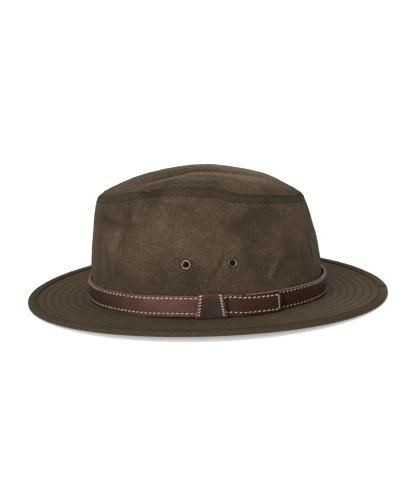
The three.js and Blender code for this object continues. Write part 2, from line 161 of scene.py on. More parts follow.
# Creases and hollows of the crown: how wide and how high each stands in millimetres, how much of it the
# right side has, and its short path in millimetres
CREASES = (
    (1.8, 1.7, 0.8, ((-8, -17, 115.3), (-20, -23, 114), (-34, -24.3, 110), (-46, -25.2, 106.7),
     (-62, -30.4, 100.6), (-68.6, -32.7, 95), (-80, -31, 87))),
    (1.8, 1, 0.8, ((-61, -30.6, 100.8), (-69, -28, 98.5), (-78, -23, 96))),
    (6, -1.2, 0.8, ((-56, -34, 103), (-48.8, -37.3, 104.5), (-41, -44.4, 101.8), (-31, -46.5, 102))),
    (3, -0.8, 0.8, ((-50, -30, 106), (-34, -29, 109.5), (-20, -28, 112))),
    (6, -1.2, 0.6, ((-72, -44, 84), (-62, -50, 86))),
    (1.9, -0.6, 1, ((-14, -28, 112.5), (0, -27, 113.5), (10, -28, 112.6), (26, -28, 110.5),
     (35, -32, 107))),
    (2.2, 0.5, 0.5, ((-20, -32, 110), (-4, -33, 111), (12, -33, 110))),
    (1.4, -0.5, 0, ((12, -18, 115), (20, -19, 114.2), (28, -21, 113))),
    (1.8, 0.6, 0, ((28, -24, 111), (44, -22, 107.5), (62, -17, 101))),
    (1.6, 0.5, 1, ((48, -30, 100), (62, -24, 97), (73, -20, 93.5))),
    (1.3, 0.6, 0.5, ((70, -25, 93), (80, -14, 90))),
    (1.2, -0.6, 0.5, ((72, -19, 95), (82, -9, 90))),
    (1.6, 0.5, 1, ((-56, 10, 101.5), (-34, 12.3, 106.3), (-12, 13, 110))),
    (2, -0.4, 1, ((-40, 9, 103), (5, 11, 108), (46, 9, 102))),
    (2.2, 0.6, 0.3, ((63, -60, 50), (55, -67, 40), (47, -74, 29))),
    (2.6, -0.5, 0.3, ((67, -56, 50), (60, -63, 40), (53, -70, 29))),
    (2.2, -0.6, 0, ((15, -77, 53), (4, -81.6, 40.5), (0, -83, 29))),
    (2.4, 0.45, 0, ((24, -75, 56), (10, -80, 42), (5, -83, 29))),
    (2.4, 0.5, 0.4, ((-90, -14, 80), (-93, -20, 62), (-95, -24, 46))),
    (1.6, 0.35, 0.4, ((-77, -42, 84), (-60, -55, 82), (-48, -60, 84))),
    (3, -0.7, 0.4, ((-66, -50, 78), (-70, -54, 62), (-68, -58, 48))),
    (2.2, -0.8, 0.4, ((-88, -38, 64), (-84, -44, 46), (-86, -44, 28))),
    (2, 0.6, 0.4, ((-83, -46, 66), (-79, -51, 46), (-80, -52, 27))),
    (1.8, 0.8, 0.4, ((85, -36, 56), (88, -37, 40), (92, -36, 27))),
    (2, -0.7, 0.4, ((80, -44, 52), (84, -45, 38), (88, -44, 26))),
)

# Places on the left of the crown: how wide each spreads in millimetres, its tone, darker below 0 and paler
# above 0, and its short path in millimetres. Some are patches of thick wax and of wax rubbed thin, the
# others are painted shade and painted light of small folds and creases.
STAINS_AND_PAINTED_SHADING = (
    (3.5, -0.6, ((-86, -30, 79), (-74, -43, 78), (-62, -52, 77))),
    (1.3, 0.35, ((-72, -45, 79), (-56, -53, 81))),
    (5, 0.28, ((-73, -47, 70), (-78, -46, 57))),
    (7, -0.45, ((-86, -25, 85), (-65, -40, 89))),
    (1.6, -0.5, ((-79, -47, 52), (-81, -50, 32))),
    (3, -0.5, ((-90, -32, 63), (-94, -33, 26))),
    (7, -0.5, ((-75, -54, 42), (-63, -65, 30))),
    (3.5, -0.3, ((-46, -40, 101), (-45, -47, 95))),
    (15, 0.2, ((-38, -62, 80), (-21, -73, 69))),
    (7, -0.3, ((-39, -75, 43), (-39, -77, 31))),
    (6, -0.55, ((-12, -80, 45), (-13, -81, 34))),
    (1.7, -0.7, ((14, -76, 57), (11, -79, 48), (6, -81, 41))),
    (6, -0.4, ((36, -73, 48), (46, -73, 33))),
    (2, -0.7, ((39, -67, 64), (45, -64, 65))),
    (8, -0.6, ((24, -67, 76), (37, -58, 82), (51, -48, 87))),
    (3, 0.3, ((52, -71, 33), (57, -65, 44), (63, -58, 53))),
    (9, -0.5, ((68, -52, 59), (73, -51, 50), (65, -61, 42))),
    (3, -0.5, ((86, -32, 60), (90, -36, 37))),
    (1.4, 0.6, ((91, -29, 53), (94, -29, 33))),
    (3.5, -0.35, ((-33, -37, 107), (-12, -40, 107), (9, -38, 108))),
)

# Soft upright folds: degrees from the back, spread in degrees, depth as a share of the cloth's
# thickness, and the shares of the height between which each one runs
FOLDS = (
    (8, 6, 0.7, 0.25, 0.6),
    (352, 5, -0.7, 0.22, 0.55),
    (336, 6, 0.6, 0.24, 0.8),
    (318, 5, -0.5, 0.3, 0.75),
    (283, 3.5, -0.6, 0.2, 0.5),
    (216, 6, -0.6, 0.3, 0.85),
    (200, 5, 0.7, 0.22, 0.9),
    (186, 5, -0.7, 0.25, 0.8),
    (152, 7, 0.6, 0.3, 0.8),
    (118, 6, -0.5, 0.25, 0.7),
    (64, 6, 0.6, 0.25, 0.75),
    (38, 6, -0.6, 0.25, 0.7),
)

# Course of the strap in degrees from the back: how much of the keeper, of its own first turn
# and of the loose stand-off lies under it, and how far the keeper lifts it
COURSE = {
    "at": (288, 315, 352, 395, 596, 616, 640, 647, 665, 720),
    "keeper": (0, 0, 0, 0, 0, 1, 1, 0, 0, 0),
    "turn": (0, 0, 0, 0, 0, 0, 0, 1, 1, 1),
    "loose": (0, 0.3, 1, 0, 0, 0, 0, 0, 0.25, 1),
    "lift": (0, 0, 0, 0, 0, 1, 1, 0.3, 0, 0),
}

# Where the strap's leather is paler, from handling and from painted light where it faces the front left
# light:
# degrees along its course, spread and strength
HANDLED_AND_LIT = ((612, 26, 1.0), (575, 16, 0.08), (658, 12, 0.1))


# Reading tables

def curve(table, key, column, at):
    """A smooth curve through the rows of a table."""
    keys = np.array(table[key], float)
    values = np.array(table[column], float)
    slopes = np.diff(values) / np.diff(keys)
    bends = np.concatenate((slopes[:1], (slopes[1:] + slopes[:-1]) / 2, slopes[-1:]))
    at = np.asarray(at, float)
    i = np.clip(np.searchsorted(keys, at) - 1, 0, len(keys) - 2)
    step = keys[i + 1] - keys[i]
    u = (at - keys[i]) / step
    rest = 1 - u
    ends = values[i] * rest * rest * (1 + 2 * u) + values[i + 1] * u * u * (3 - 2 * u)
    return ends + step * u * rest * (bends[i] * rest - bends[i + 1] * u)


def eased(table, key, column, at):
    """An eased step between the rows of a table, flat at each row."""
    keys = np.array(table[key], float)
    values = np.array(table[column], float)
    at = np.clip(np.asarray(at, float), keys[0], keys[-1])
    i = np.clip(np.searchsorted(keys, at) - 1, 0, len(keys) - 2)
    u = (at - keys[i]) / (keys[i + 1] - keys[i])
    return values[i] + (values[i + 1] - values[i]) * u * u * (3 - 2 * u)


# Forms of the hat

def unit(vectors):
    """The same vectors, one long."""
    return vectors / np.linalg.norm(vectors, axis=-1, keepdims=True)


def side_share(angle):
    """How clear an angle lies of the level front and back of the brim, up to 1 at its sides."""
    return np.maximum(0, (np.abs(np.sin(angle)) - REST_SHARE) / (1 - REST_SHARE))


def arch(angle):
    """How far the edge of the brim stands up at an angle round it."""
    return BRIM_ARCH * side_share(angle) ** 1.5


def dip(angle):
    """How far the brim sinks from its edge to the crown at an angle round it."""
    return BRIM_DIP * side_share(angle) ** 3


def foot_arch(angle):
    """How far the brim stands up where the crown meets it."""
    return arch(angle) - dip(angle)


def top_height(column, along):
    """Height of the seam or the crest above the brim."""
    return CROWN_TALL * curve(TOP, "along", column, along)


def fold_at(angle, rise):
    """How far the folds push the side wall out."""
    push = np.zeros(np.broadcast(angle, rise).shape)
    for at, spread, depth, start, end in FOLDS:
        away = angle - math.radians(at)
        turned = np.arctan2(np.sin(away), np.cos(away)) / math.radians(spread)
        up = np.clip((rise - (start + end) / 2) / ((end - start) / 2), -1, 1)
        push = push + depth * CLOTH * np.exp(-turned ** 2) * (1 - up ** 2) ** 2
    return push


def pinched(points):
    """The pinch moves points of the crown towards the middle."""
    along = (points[..., 0] - CROWN_MIDDLE + CROWN_HALF_LENGTH - PINCH["back"]) / PINCH["long"]
    up = (points[..., 2] - PINCH["high"]) / PINCH["tall"]
    out = np.minimum(1, np.abs(points[..., 1]) / CREST_HALF_WIDTH)
    push = PINCH["deep"] * np.exp(-along ** 2 - up ** 2) * out ** 2
    moved = points.copy()
    moved[..., 1] -= np.sign(points[..., 1]) * push
    return moved


def wall_oval(rise):
    """Middle, half length and half width of the side wall at a share of its height."""
    front = CROWN_MIDDLE - CROWN_HALF_LENGTH + FRONT_LEAN * curve(WALL, "rise", "front", rise)
    back = CROWN_MIDDLE + CROWN_HALF_LENGTH - BACK_LEAN * curve(WALL, "rise", "back", rise)
    wide = CROWN_HALF_WIDTH - SIDE_LEAN * curve(WALL, "rise", "side", rise)
    return (front + back) / 2, (back - front) / 2, wide


def oval_normal(half_length, half_width, angle):
    """Direction square to an oval at an angle, in plan."""
    across = np.stack(np.broadcast_arrays(
        half_width * np.cos(angle), half_length * np.sin(angle), np.zeros_like(angle)), -1)
    return unit(across)


def seam_height(angle):
    """Height of the side wall's top edge above the brim."""
    return top_height("seam", (1 + np.cos(angle)) / 2)


def wall(angle, rise, out=0.0):
    """Points of the side wall's outer face, moved out by a distance."""
    angle, rise = np.broadcast_arrays(np.asarray(angle, float), np.asarray(rise, float))
    middle, half_length, half_width = wall_oval(rise)
    foot = BRIM_TOP + GAP + foot_arch(angle)
    head = BRIM_TOP + seam_height(angle)
    points = np.stack((
        middle + half_length * np.cos(angle),
        half_width * np.sin(angle),
        foot + (head - foot) * rise,
    ), -1)
    push = np.asarray(out + fold_at(angle, rise))[..., None]
    return pinched(points + oval_normal(half_length, half_width, angle) * push)


def rise_at(angle, height):
    """Share of the wall's height at a height above the brim."""
    foot = foot_arch(angle) + GAP
    return (foot_arch(angle) + height - foot) / (seam_height(angle) - foot)


def beside(angle, out, height):
    """Points beside the crown: a distance out from the wall and a height above the brim."""
    return wall(angle, rise_at(angle, height), out)


def brim_point(angle, inset, height):
    """Points of the brim: a distance in from its edge and a height above its foot."""
    angle, inset, height = np.broadcast_arrays(
        np.asarray(angle, float), np.asarray(inset, float), np.asarray(height, float))
    normal = oval_normal(BRIM_HALF_LENGTH, BRIM_HALF_WIDTH, angle)
    shelf = BRIM_HALF_WIDTH - CROWN_HALF_WIDTH - BRIM_SHELF
    sunk = dip(angle) * np.clip((inset - BINDING_WIDE - GAP) / (shelf - BINDING_WIDE - GAP), 0, 1)
    points = np.stack((
        BRIM_HALF_LENGTH * np.cos(angle), BRIM_HALF_WIDTH * np.sin(angle), arch(angle) + height - sunk), -1)
    return points - normal * inset[..., None]


# Working on rings of points

def ring_normals(rings, is_closed=True):
    """Normals of a skin given as rings of points."""
    if is_closed:
        around = np.roll(rings, -1, axis=1) - np.roll(rings, 1, axis=1)
    else:
        around = np.gradient(rings, axis=1)
    across = np.gradient(rings, axis=0)
    return unit(np.cross(around, across))


def relief(points, pitch, seed, octaves=3):
    """Soft uneven relief, about -1 to 1, with bumps about one pitch apart."""
    shift = Vector((seed * 7.3, seed * 3.1, seed * 5.7))
    flat = points.reshape(-1, 3)
    values = [noise.fractal(Vector(p) / pitch + shift, 0.9, 2.0, octaves) for p in flat]
    return np.array(values).reshape(points.shape[:-1])


def ridges(points, pitch, seed):
    """Thin crease lines, 0 to 1, with creases about one pitch apart."""
    soft = np.abs(relief(points, pitch, seed, 2))
    return np.clip(1 - soft * 5, 0, 1) ** 2


def rolled(outer, inner, way, count=4, share=1.0):
    """Rings that round an edge from an outer ring over to an inner one."""
    middle = (outer + inner) / 2
    half = (outer - inner) / 2
    reach = np.linalg.norm(half, axis=-1, keepdims=True) * share
    turns = [math.pi * (k + 1) / (count + 1) for k in range(count)]
    return [middle + half * math.cos(t) + unit(way) * reach * math.sin(t) for t in turns]


# Making meshes

def placed(name, data):
    """An object of the scene that shows a mesh, a light or a camera."""
    holder = bpy.data.objects.new(name, data)
    bpy.context.scene.collection.objects.link(holder)
    return holder


def new_piece(name, points, faces, materials, slots=None, marks=None):
    """A smooth mesh object from points and faces, with a material for each face and marks for the
    points."""
    mesh = bpy.data.meshes.new(name)
    mesh.from_pydata([tuple(p) for p in points], [], faces)
    for material in materials:
        mesh.materials.append(material)
    if slots is not None:
        mesh.polygons.foreach_set("material_index", slots)
    mesh.polygons.foreach_set("use_smooth", [True] * len(faces))
    for mark, values in (marks or {}).items():
        mesh.attributes.new(mark, "FLOAT", "POINT").data.foreach_set("value", values)
    mesh.update()
    return placed(name, mesh)


def ring_faces(count, size, is_loop, keep):
    """The kept four-sided faces between rings of points, a loop of rings or a row of them."""
    steps = count if is_loop else count - 1
    i, j = np.nonzero(keep[:steps])
    after = (j + 1) % size
    up = (i + 1) % count
    corners = np.stack((i * size + j, i * size + after, up * size + after, up * size + j), -1)
    return [tuple(map(int, face)) for face in corners]


def outward(points, faces):
    """The faces turned so that the mesh holds a positive volume."""
    p = points[np.array([f[:3] for f in faces])]
    volume = np.einsum("ij,ij->i", p[:, 0], np.cross(p[:, 1], p[:, 2])).sum()
    return faces if volume > 0 else [tuple(reversed(f)) for f in faces]


def closed_piece(name, rings, is_loop, materials, slot_of=None, marks=None, skip=None, bridges=()):
    """A closed piece through rings of points. slot_of gives a material for each ring or each face,
    marks give values for the points, and skipped faces leave holes that the bridges line."""
    rings = np.asarray(rings, float)
    count, size = rings.shape[:2]
    keep = np.ones((count, size), bool) if skip is None else ~skip
    faces = ring_faces(count, size, is_loop, keep)
    slot_table = np.zeros((count, size), int)
    if slot_of is not None:
        slot_table = slot_table + np.asarray(slot_of)
    steps = count if is_loop else count - 1
    slots = list(map(int, slot_table[:steps][keep[:steps]]))
    faces += list(bridges)
    slots += [0] * len(bridges)
    points = rings.reshape(-1, 3)
    values = {mark: list(np.asarray(table, float).reshape(-1)) for mark, table in (marks or {}).items()}
    if not is_loop:
        last_ring = (count - 1) * size
        first = len(points)
        points = np.concatenate((points, rings[:1].mean(1), rings[-1:].mean(1)))
        for mark in values.values():
            mark += [0.0, 0.0]
        for j in range(size):
            after = (j + 1) % size
            faces.append((first, after, j))
            faces.append((last_ring + j, last_ring + after, first + 1))
            slots += [slots[0], slots[-1]]
    if skip is not None:
        kept = sorted({v for face in faces for v in face})
        renumber = {v: k for k, v in enumerate(kept)}
        faces = [tuple(renumber[v] for v in face) for face in faces]
        points = points[kept]
        values = {mark: [table[v] for v in kept] for mark, table in values.items()}
    return new_piece(name, points, outward(points, faces), materials, slots, values)


def joined_copies(name, places, form, form_faces, material):
    """One mesh of many copies of a small form, each placed by its own axes."""
    origins, along, across, up = places
    points = (origins[:, None] + form[None, :, 0:1] * along[:, None]
              + form[None, :, 1:2] * across[:, None] + form[None, :, 2:3] * up[:, None])
    size = len(form)
    starts = np.arange(len(origins)) * size
    faces = [tuple(int(v) + int(start) for v in face) for start in starts for face in form_faces]
    return new_piece(name, points.reshape(-1, 3), faces, [material])


def thread_form(stitch, sides, rings, twist=0.0):
    """One short bowed thread of a kind of stitch: its points and faces, lying along its first axis."""
    length, radius, lift = stitch["long"], stitch["thick"], stitch["bow"]
    stations = np.linspace(-1, 1, rings)
    points = []
    for s in stations:
        fat = max(0.04, 1 - abs(s) ** 2.4) ** 0.7
        for k in range(sides):
            turn = TURN * k / sides
            ply = 1 + twist * math.cos(2 * turn + s * 5)
            points.append((
                s * length / 2,
                radius * fat * ply * math.cos(turn),
                radius * fat * ply * math.sin(turn) * 0.8 + lift * (1 - s * s) - radius * 0.5,
            ))
    faces = []
    for i in range(rings - 1):
        for k in range(sides):
            after = (k + 1) % sides
            faces.append((i * sides + k, i * sides + after, (i + 1) * sides + after, (i + 1) * sides + k))
    faces.append(tuple(range(sides)))
    faces.append(tuple((rings - 1) * sides + k for k in reversed(range(sides))))
    points = np.array(points)
    return points, outward(points, faces)


def sampled(lengths, values, at):
    """Points or directions at lengths along a path."""
    return np.stack([np.interp(at, lengths, values[:, k]) for k in range(3)], -1)


def sewn_row(path, normals, stitch, seed, is_closed=False, size=1.0):
    """Places of a kind of stitch that fill a path: origins and axes, each turned by its slant."""
    dice = random.Random(seed)
    pitch, stray = stitch["pitch"], stitch["stray"]
    if is_closed:
        path = np.concatenate((path, path[:1]))
        normals = np.concatenate((normals, normals[:1]))
    lengths = np.concatenate(([0], np.cumsum(np.linalg.norm(np.diff(path, axis=0), axis=1))))
    count = max(1, round(lengths[-1] / pitch))
    at = (np.arange(count) + 0.5) * lengths[-1] / count
    at = at + np.array([dice.uniform(-stray, stray) * pitch for _ in at])
    origins = sampled(lengths, path, at)
    up = unit(sampled(lengths, normals, at))
    along = unit(sampled(lengths, path, at + pitch * 0.3) - sampled(lengths, path, at - pitch * 0.3))
    across = unit(np.cross(up, along))
    turn = np.array([stitch["slant"] + dice.uniform(-0.06, 0.06) for _ in at])[:, None]
    turned = along * np.cos(turn) + across * np.sin(turn)
    return origins, turned * size, unit(np.cross(up, turned)) * size, up * size


def gather(rows):
    """Several rows of places as one."""
    return tuple(np.concatenate([row[k] for row in rows]) for k in range(4))


# Materials

def linear(hex_colour):
    """An sRGB hex colour as linear red, green, blue and alpha."""
    parts = [int(hex_colour[k:k + 2], 16) / 255 for k in (1, 3, 5)]
    return [c / 12.92 if c <= 0.04045 else ((c + 0.055) / 1.055) ** 2.4 for c in parts] + [1.0]


def add(tree, kind, settings=None, links=None):
    """One node with its settings, and its inputs set or linked."""
    node = tree.nodes.new(kind)
    for key, value in (settings or {}).items():
        setattr(node, key, value)
    for key, value in (links or {}).items():
        if isinstance(value, bpy.types.NodeSocket):
            tree.links.new(value, node.inputs[key])
        else:
            node.inputs[key].default_value = value
    return node


def new_material(name):
    """An empty material: its node tree, its shader and the place of the object's points."""
    material = bpy.data.materials.new(name)
    material.use_nodes = True
    tree = material.node_tree
    tree.nodes.clear()
    shader = add(tree, "ShaderNodeBsdfPrincipled")
    out = add(tree, "ShaderNodeOutputMaterial")
    tree.links.new(shader.outputs[0], out.inputs["Surface"])
    place = add(tree, "ShaderNodeTexCoord").outputs["Object"]
    return material, tree, shader, place


def patches(tree, place, size, low, high, detail=3.0, distortion=0.0, stretch=(1.0, 1.0, 1.0)):
    """A patchy mask, 0 to 1, with patches of a real size."""
    drawn = add(tree, "ShaderNodeMapping", None, {"Vector": place, "Scale": stretch}).outputs[0]
    grain = {"Vector": drawn, "Scale": 1 / size, "Detail": detail, "Distortion": distortion}
    cloud = add(tree, "ShaderNodeTexNoise", None, grain).outputs["Fac"]
    return add(tree, "ShaderNodeMapRange", {"interpolation_type": "SMOOTHSTEP"},
               {"Value": cloud, "From Min": low, "From Max": high}).outputs[0]


def dyed(tree, shader, ground, layers):
    """The shader's colour: a ground with others laid over it, each by its mask and its share."""
    colour = linear(ground)
    for mask, over, share in layers:
        part = add(tree, "ShaderNodeMath", {"operation": "MULTIPLY"}, {0: mask, 1: share}).outputs[0]
        layer = add(tree, "ShaderNodeMix", {"data_type": "RGBA"}, {0: part, 6: colour, 7: linear(over)})
        colour = layer.outputs[2]
    tree.links.new(colour, shader.inputs["Base Color"])


def embossed(tree, shader, reliefs):
    """The shader's fine relief: heights one over another, each with its real depth."""
    links = {}
    for height, depth in reliefs:
        links.update({"Height": height, "Distance": depth, "Strength": 1.0})
        links["Normal"] = add(tree, "ShaderNodeBump", None, links).outputs[0]
    tree.links.new(links["Normal"], shader.inputs["Normal"])


def glossed(tree, shader, mask, low, high):
    """The shader's roughness, from a low to a high value by a mask."""
    gloss = add(tree, "ShaderNodeMapRange", None, {"Value": mask, "To Min": low, "To Max": high})
    tree.links.new(gloss.outputs[0], shader.inputs["Roughness"])


def waxed_cotton(name, ground, rubbed, bare, shade, clouds=1.0):
    """Waxed cotton: close plain weave proofed with wax, which goes paler and matt where it is creased or
    rubbed, and stays dark where the wax lies thick. Marks on its points add painted light and painted shade."""
    material, tree, shader, place = new_material(name)
    broad = patches(tree, place, 42 * MM, 0.34, 0.66, 7.0, 0.5)
    small = patches(tree, place, 7 * MM, 0.36, 0.68, 6.0, 1.0)
    dark = patches(tree, place, 18 * MM, 0.46, 0.66, 6.0, 0.8)
    crazed = add(tree, "ShaderNodeTexNoise", {"noise_type": "RIDGED_MULTIFRACTAL"},
                 {"Vector": place, "Scale": 1 / (16 * MM), "Detail": 5.0, "Distortion": 0.5}).outputs["Fac"]
    crazed = add(tree, "ShaderNodeMapRange", None,
                 {"Value": crazed, "From Min": 0.75, "From Max": 1.25}).outputs[0]
    # The threads are 0.4 mm apart, drawn at 1.3 mm so that they show. Nap and lint are drawn as coarse.
    weave = patches(tree, place, 1.3 * MM, 0.38, 0.62, 1.0)
    nap = patches(tree, place, 2.2 * MM, 0.5, 0.66, 2.0)
    lint = patches(tree, place, 1.5 * MM, 0.7, 0.76, 1.0)
    worn = add(tree, "ShaderNodeAttribute", {"attribute_name": "rubbed"}).outputs["Fac"]
    # This mark is painted shade along stitched rows and in grooves, ditches and hollows, and thick wax on
    # the crown.
    stitched_and_shaded = add(tree, "ShaderNodeAttribute", {"attribute_name": "stitched_and_shaded"}).outputs["Fac"]
    dyed(tree, shader, ground, (
        (broad, rubbed, 0.5 * clouds), (small, rubbed, 0.26 * clouds), (dark, shade, 0.27 * clouds),
        (crazed, rubbed, 0.3 * clouds), (worn, bare, 0.8), (weave, shade, 0.42), (nap, bare, 0.12),
        (lint, bare, 0.55), (stitched_and_shaded, shade, 0.85)))
    glossed(tree, shader, broad, 0.7, 0.86)
    shader.inputs["IOR"].default_value = 1.45
    shader.inputs["Specular IOR Level"].default_value = 0.12
    embossed(tree, shader, ((weave, 0.1 * MM), (crazed, 0.2 * MM), (small, 0.2 * MM * clouds)))
    return material


def leather(name, ground, handled, rubbed, shade, rough):
    """Oiled cowhide, dyed through and burnished: fine pores, a low waxy shine, and paler clouds
    where it has been pulled and handled. Marks on its points add painted light and painted shade."""
    material, tree, shader, place = new_material(name)
    worn = add(tree, "ShaderNodeAttribute", {"attribute_name": "rubbed"}).outputs["Fac"]
    cloud = patches(tree, place, 16 * MM, 0.36, 0.66, 5.0, 0.5)
    mottle = patches(tree, place, 3.5 * MM, 0.4, 0.7, 4.0, 0.4)
    # Pores are about 0.2 mm, drawn at 0.9 mm so that they show.
    pores = add(tree, "ShaderNodeTexVoronoi", {"feature": "DISTANCE_TO_EDGE"},
                {"Vector": place, "Scale": 1 / (0.9 * MM)}).outputs["Distance"]
    pores = add(tree, "ShaderNodeMapRange", None, {"Value": pores, "From Max": 0.3}).outputs[0]
    # This mark is painted shadow beside the keeper and past the strap's free end, and a painted shade line
    # on the keeper.
    stitched_and_shaded = add(tree, "ShaderNodeAttribute", {"attribute_name": "stitched_and_shaded"}).outputs["Fac"]
    dyed(tree, shader, ground, (
        (worn, handled, 1.0), (cloud, rubbed, 0.35), (mottle, shade, 0.22), (stitched_and_shaded, shade, 0.9)))
    glossed(tree, shader, mottle, rough, rough + 0.14)
    shader.inputs["IOR"].default_value = 1.5
    shader.inputs["Specular IOR Level"].default_value = 0.12
    embossed(tree, shader, ((pores, 0.05 * MM), (mottle, 0.08 * MM)))
    return material


def cut_edge(name, ground, bare, cloudy, fibres):
    """Cut edge of cowhide, unsealed: paler than its face, matt and a little fibrous."""
    material, tree, shader, place = new_material(name)
    worn = add(tree, "ShaderNodeAttribute", {"attribute_name": "rubbed"}).outputs["Fac"]
    fibre = patches(tree, place, 1.2 * MM, 0.35, 0.7, 4.0, 0.0, (1.0, 1.0, 3.0))
    cloud = patches(tree, place, 12 * MM, 0.4, 0.65)
    dyed(tree, shader, ground, ((worn, bare, 1.0), (cloud, cloudy, 0.5), (fibre, fibres, 0.45)))
    shader.inputs["Roughness"].default_value = 0.85
    embossed(tree, shader, ((fibre, 0.15 * MM),))
    return material


def sewing_thread(name, colour, shade, sheen):
    """Twisted sewing thread with a light wax: its plies show as a fine mottle with a fine relief."""
    material, tree, shader, place = new_material(name)
    ply = patches(tree, place, 0.5 * MM, 0.4, 0.6, 1.0)
    soil = patches(tree, place, 7 * MM, 0.42, 0.75)
    dyed(tree, shader, colour, ((ply, shade, 0.3), (soil, shade, 0.35)))
    shader.inputs["Roughness"].default_value = 0.75
    shader.inputs["Specular IOR Level"].default_value = 0.15
    shader.inputs["Sheen Weight"].default_value = sheen
    embossed(tree, shader, ((ply, 0.08 * MM),))
    return material


def antique_brass(name):
    """Brass plating, blackened and tumbled: dark in the hollows, bright where the rim is rubbed."""
    material, tree, shader, place = new_material(name)
    worn = add(tree, "ShaderNodeAttribute", {"attribute_name": "rubbed"}).outputs["Fac"]
    specks = patches(tree, place, 1.4 * MM, 0.4, 0.7)
    dyed(tree, shader, "#2a2218", ((worn, "#948370", 1.0), (specks, "#3a3022", 0.35)))
    shader.inputs["Metallic"].default_value = 1.0
    glossed(tree, shader, specks, 0.28, 0.42)
    return material


def pale_floor(name):
    """Matt white acrylic of a light table: it glows a little, so that the hat's own shadow stays pale."""
    material, _, shader, _ = new_material(name)
    shader.inputs["Base Color"].default_value = linear("#fbfbfa")
    shader.inputs["Roughness"].default_value = 0.9
    shader.inputs["Emission Color"].default_value = linear("#ffffff")
    shader.inputs["Emission Strength"].default_value = 0.34
    return material


COTTON = waxed_cotton("waxed_cotton_olive", "#433627", "#61503f", "#85705d", "#272116")
BRIM_COTTON = waxed_cotton("waxed_cotton_brim", "#443726", "#5e4d38", "#72614d", "#251f15", 0.45)
# The binding is the brim's own cloth painted darker, as shade along the rim.
SHADED_BINDING_COTTON = waxed_cotton("waxed_cotton_binding_shaded", "#3c3023", "#554535", "#75624f", "#251f15", 0.45)
BAND_LEATHER = leather("oiled_cowhide_red_brown", "#351c13", "#6d5145", "#4c2a1d", "#1c0f0a", 0.45)
KEEPER_LEATHER = leather("oiled_cowhide_dark_brown", "#3c2f2a", "#6b3a2f", "#5c4b42", "#1f1815", 0.5)
CUT_EDGE = cut_edge("cowhide_cut_edge", "#8a6152", "#a87b62", "#6e4638", "#583629")
KEEPER_EDGE = cut_edge("cowhide_cut_edge_dark", "#8e6152", "#8e6152", "#5e3c31", "#3a241d")
CREAM_THREAD = sewing_thread("waxed_linen_thread_cream", "#fbeedb", "#b09a7e", 0.15)
TAN_THREAD = sewing_thread("waxed_linen_thread_tan", "#eed8b8", "#94795a", 0.15)
OLIVE_THREAD = sewing_thread("cotton_thread_olive", "#1c170f", "#120e08", 0.0)
BRASS = antique_brass("antique_brass")


def fit(piece, slot, *nodes):
    """The piece rides on the hat and stands for CAD nodes, which it hides; its slot is not used."""
    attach(piece, "root")
    if nodes:
        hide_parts(*nodes)


# Eyelets

def eyelet_places():
    """Names, places and directions of the four eyelets."""
    places = []
    for side, turn in (("left", -1), ("right", 1)):
        for end, way in (("front", -1), ("back", 1)):
            angle = turn * math.acos((EYELET_BACK + way * EYELET_SPACING / 2) / CROWN_HALF_LENGTH)
            rise = float(rise_at(angle, EYELET_HIGH))
            step = 0.02
            around = wall(angle + step, rise) - wall(angle - step, rise)
            up = wall(angle, rise + step) - wall(angle, rise - step)
            places.append((f"eyelet_{side}_{end}", wall(angle, rise), unit(np.cross(around, up))))
    return places


def eyelet(name, point, normal):
    """A rolled eyelet that grips both faces of the cloth, with a washer inside the crown."""
    sides = 48
    steps = 16
    tube = EYELET_HOLE + 0.45 * MM
    back = -CLOTH - 0.35 * MM
    face = 0.3 * MM
    middle = (EYELET_RIM + EYELET_HOLE) / 2
    half = (EYELET_RIM - EYELET_HOLE) / 2
    profile = [(EYELET_HOLE, back - 0.5 * MM, 0.2), (EYELET_RIM - 0.3 * MM, back - 0.5 * MM, 0.6),
               (EYELET_RIM, back - 0.25 * MM, 0.5), (EYELET_RIM - 0.2 * MM, back, 0.1), (tube, back, 0),
               (tube, 0.1 * MM, 0), (EYELET_RIM - 0.2 * MM, 0.05 * MM, 0)]
    for k in range(steps + 1):
        turn = math.pi * k / steps
        rubbed = math.exp(-((turn - 0.62 * math.pi) / 0.62) ** 2)
        profile.append((middle + half * math.cos(turn), face + 0.9 * MM * math.sin(turn), rubbed))
    around = [TURN * j / sides for j in range(sides)]
    rings = [[(r * math.cos(t), r * math.sin(t), h) for t in around] for r, h, _ in profile]
    marks = {"rubbed": [[w] * sides for _, _, w in profile]}
    piece = closed_piece(name + "_brass", rings, True, [BRASS], None, marks)
    turn = Vector((0, 0, 1)).rotation_difference(Vector(normal))
    piece.data.transform(Matrix.Translation(Vector(point)) @ turn.to_matrix().to_4x4())
    fit(piece, "antique_brass", name)


# Crown

def near_path(points, path):
    """Distance of points from a path, and the share of the way along it."""
    flat = points.reshape(-1, 3)
    corners = np.array(path, float) * MM
    lengths = np.linalg.norm(np.diff(corners, axis=0), axis=1)
    nearest = np.full(len(flat), np.inf)
    share = np.zeros(len(flat))
    done = 0.0
    for start, end, length in zip(corners[:-1], corners[1:], lengths):
        along = np.clip((flat - start) @ (end - start) / length ** 2, 0, 1)
        away = np.linalg.norm(flat - start - along[:, None] * (end - start), axis=1)
        closer = away < nearest
        nearest[closer] = away[closer]
        share[closer] = (done + along[closer] * length) / lengths.sum()
        done += length
    return nearest.reshape(points.shape[:-1]), share.reshape(points.shape[:-1])


def crest_point(angle):
    """Points of the crest round the dent."""
    middle = float(wall_oval(1.0)[0])
    along = (1 + np.cos(angle)) / 2
    return np.stack((middle + CREST_HALF_LENGTH * np.cos(angle), CREST_HALF_WIDTH * np.sin(angle),
                     BRIM_TOP + top_height("crest", along)), -1)


def dent_floor(angle):
    """Points round the floor of the dent."""
    middle = float(wall_oval(1.0)[0])
    return np.stack((middle + DENT_HALF_LENGTH * np.cos(angle), DENT_HALF_WIDTH * np.sin(angle),
                     np.full(np.shape(angle), BRIM_TOP + CROWN_TALL - DENT_DEEP)), -1)


def blend(low, high, share, rise):
    """Points between two rings, with their own share of the height."""
    points = low + (high - low) * share[..., None]
    points[..., 2] = low[..., 2] + (high[..., 2] - low[..., 2]) * rise
    return points


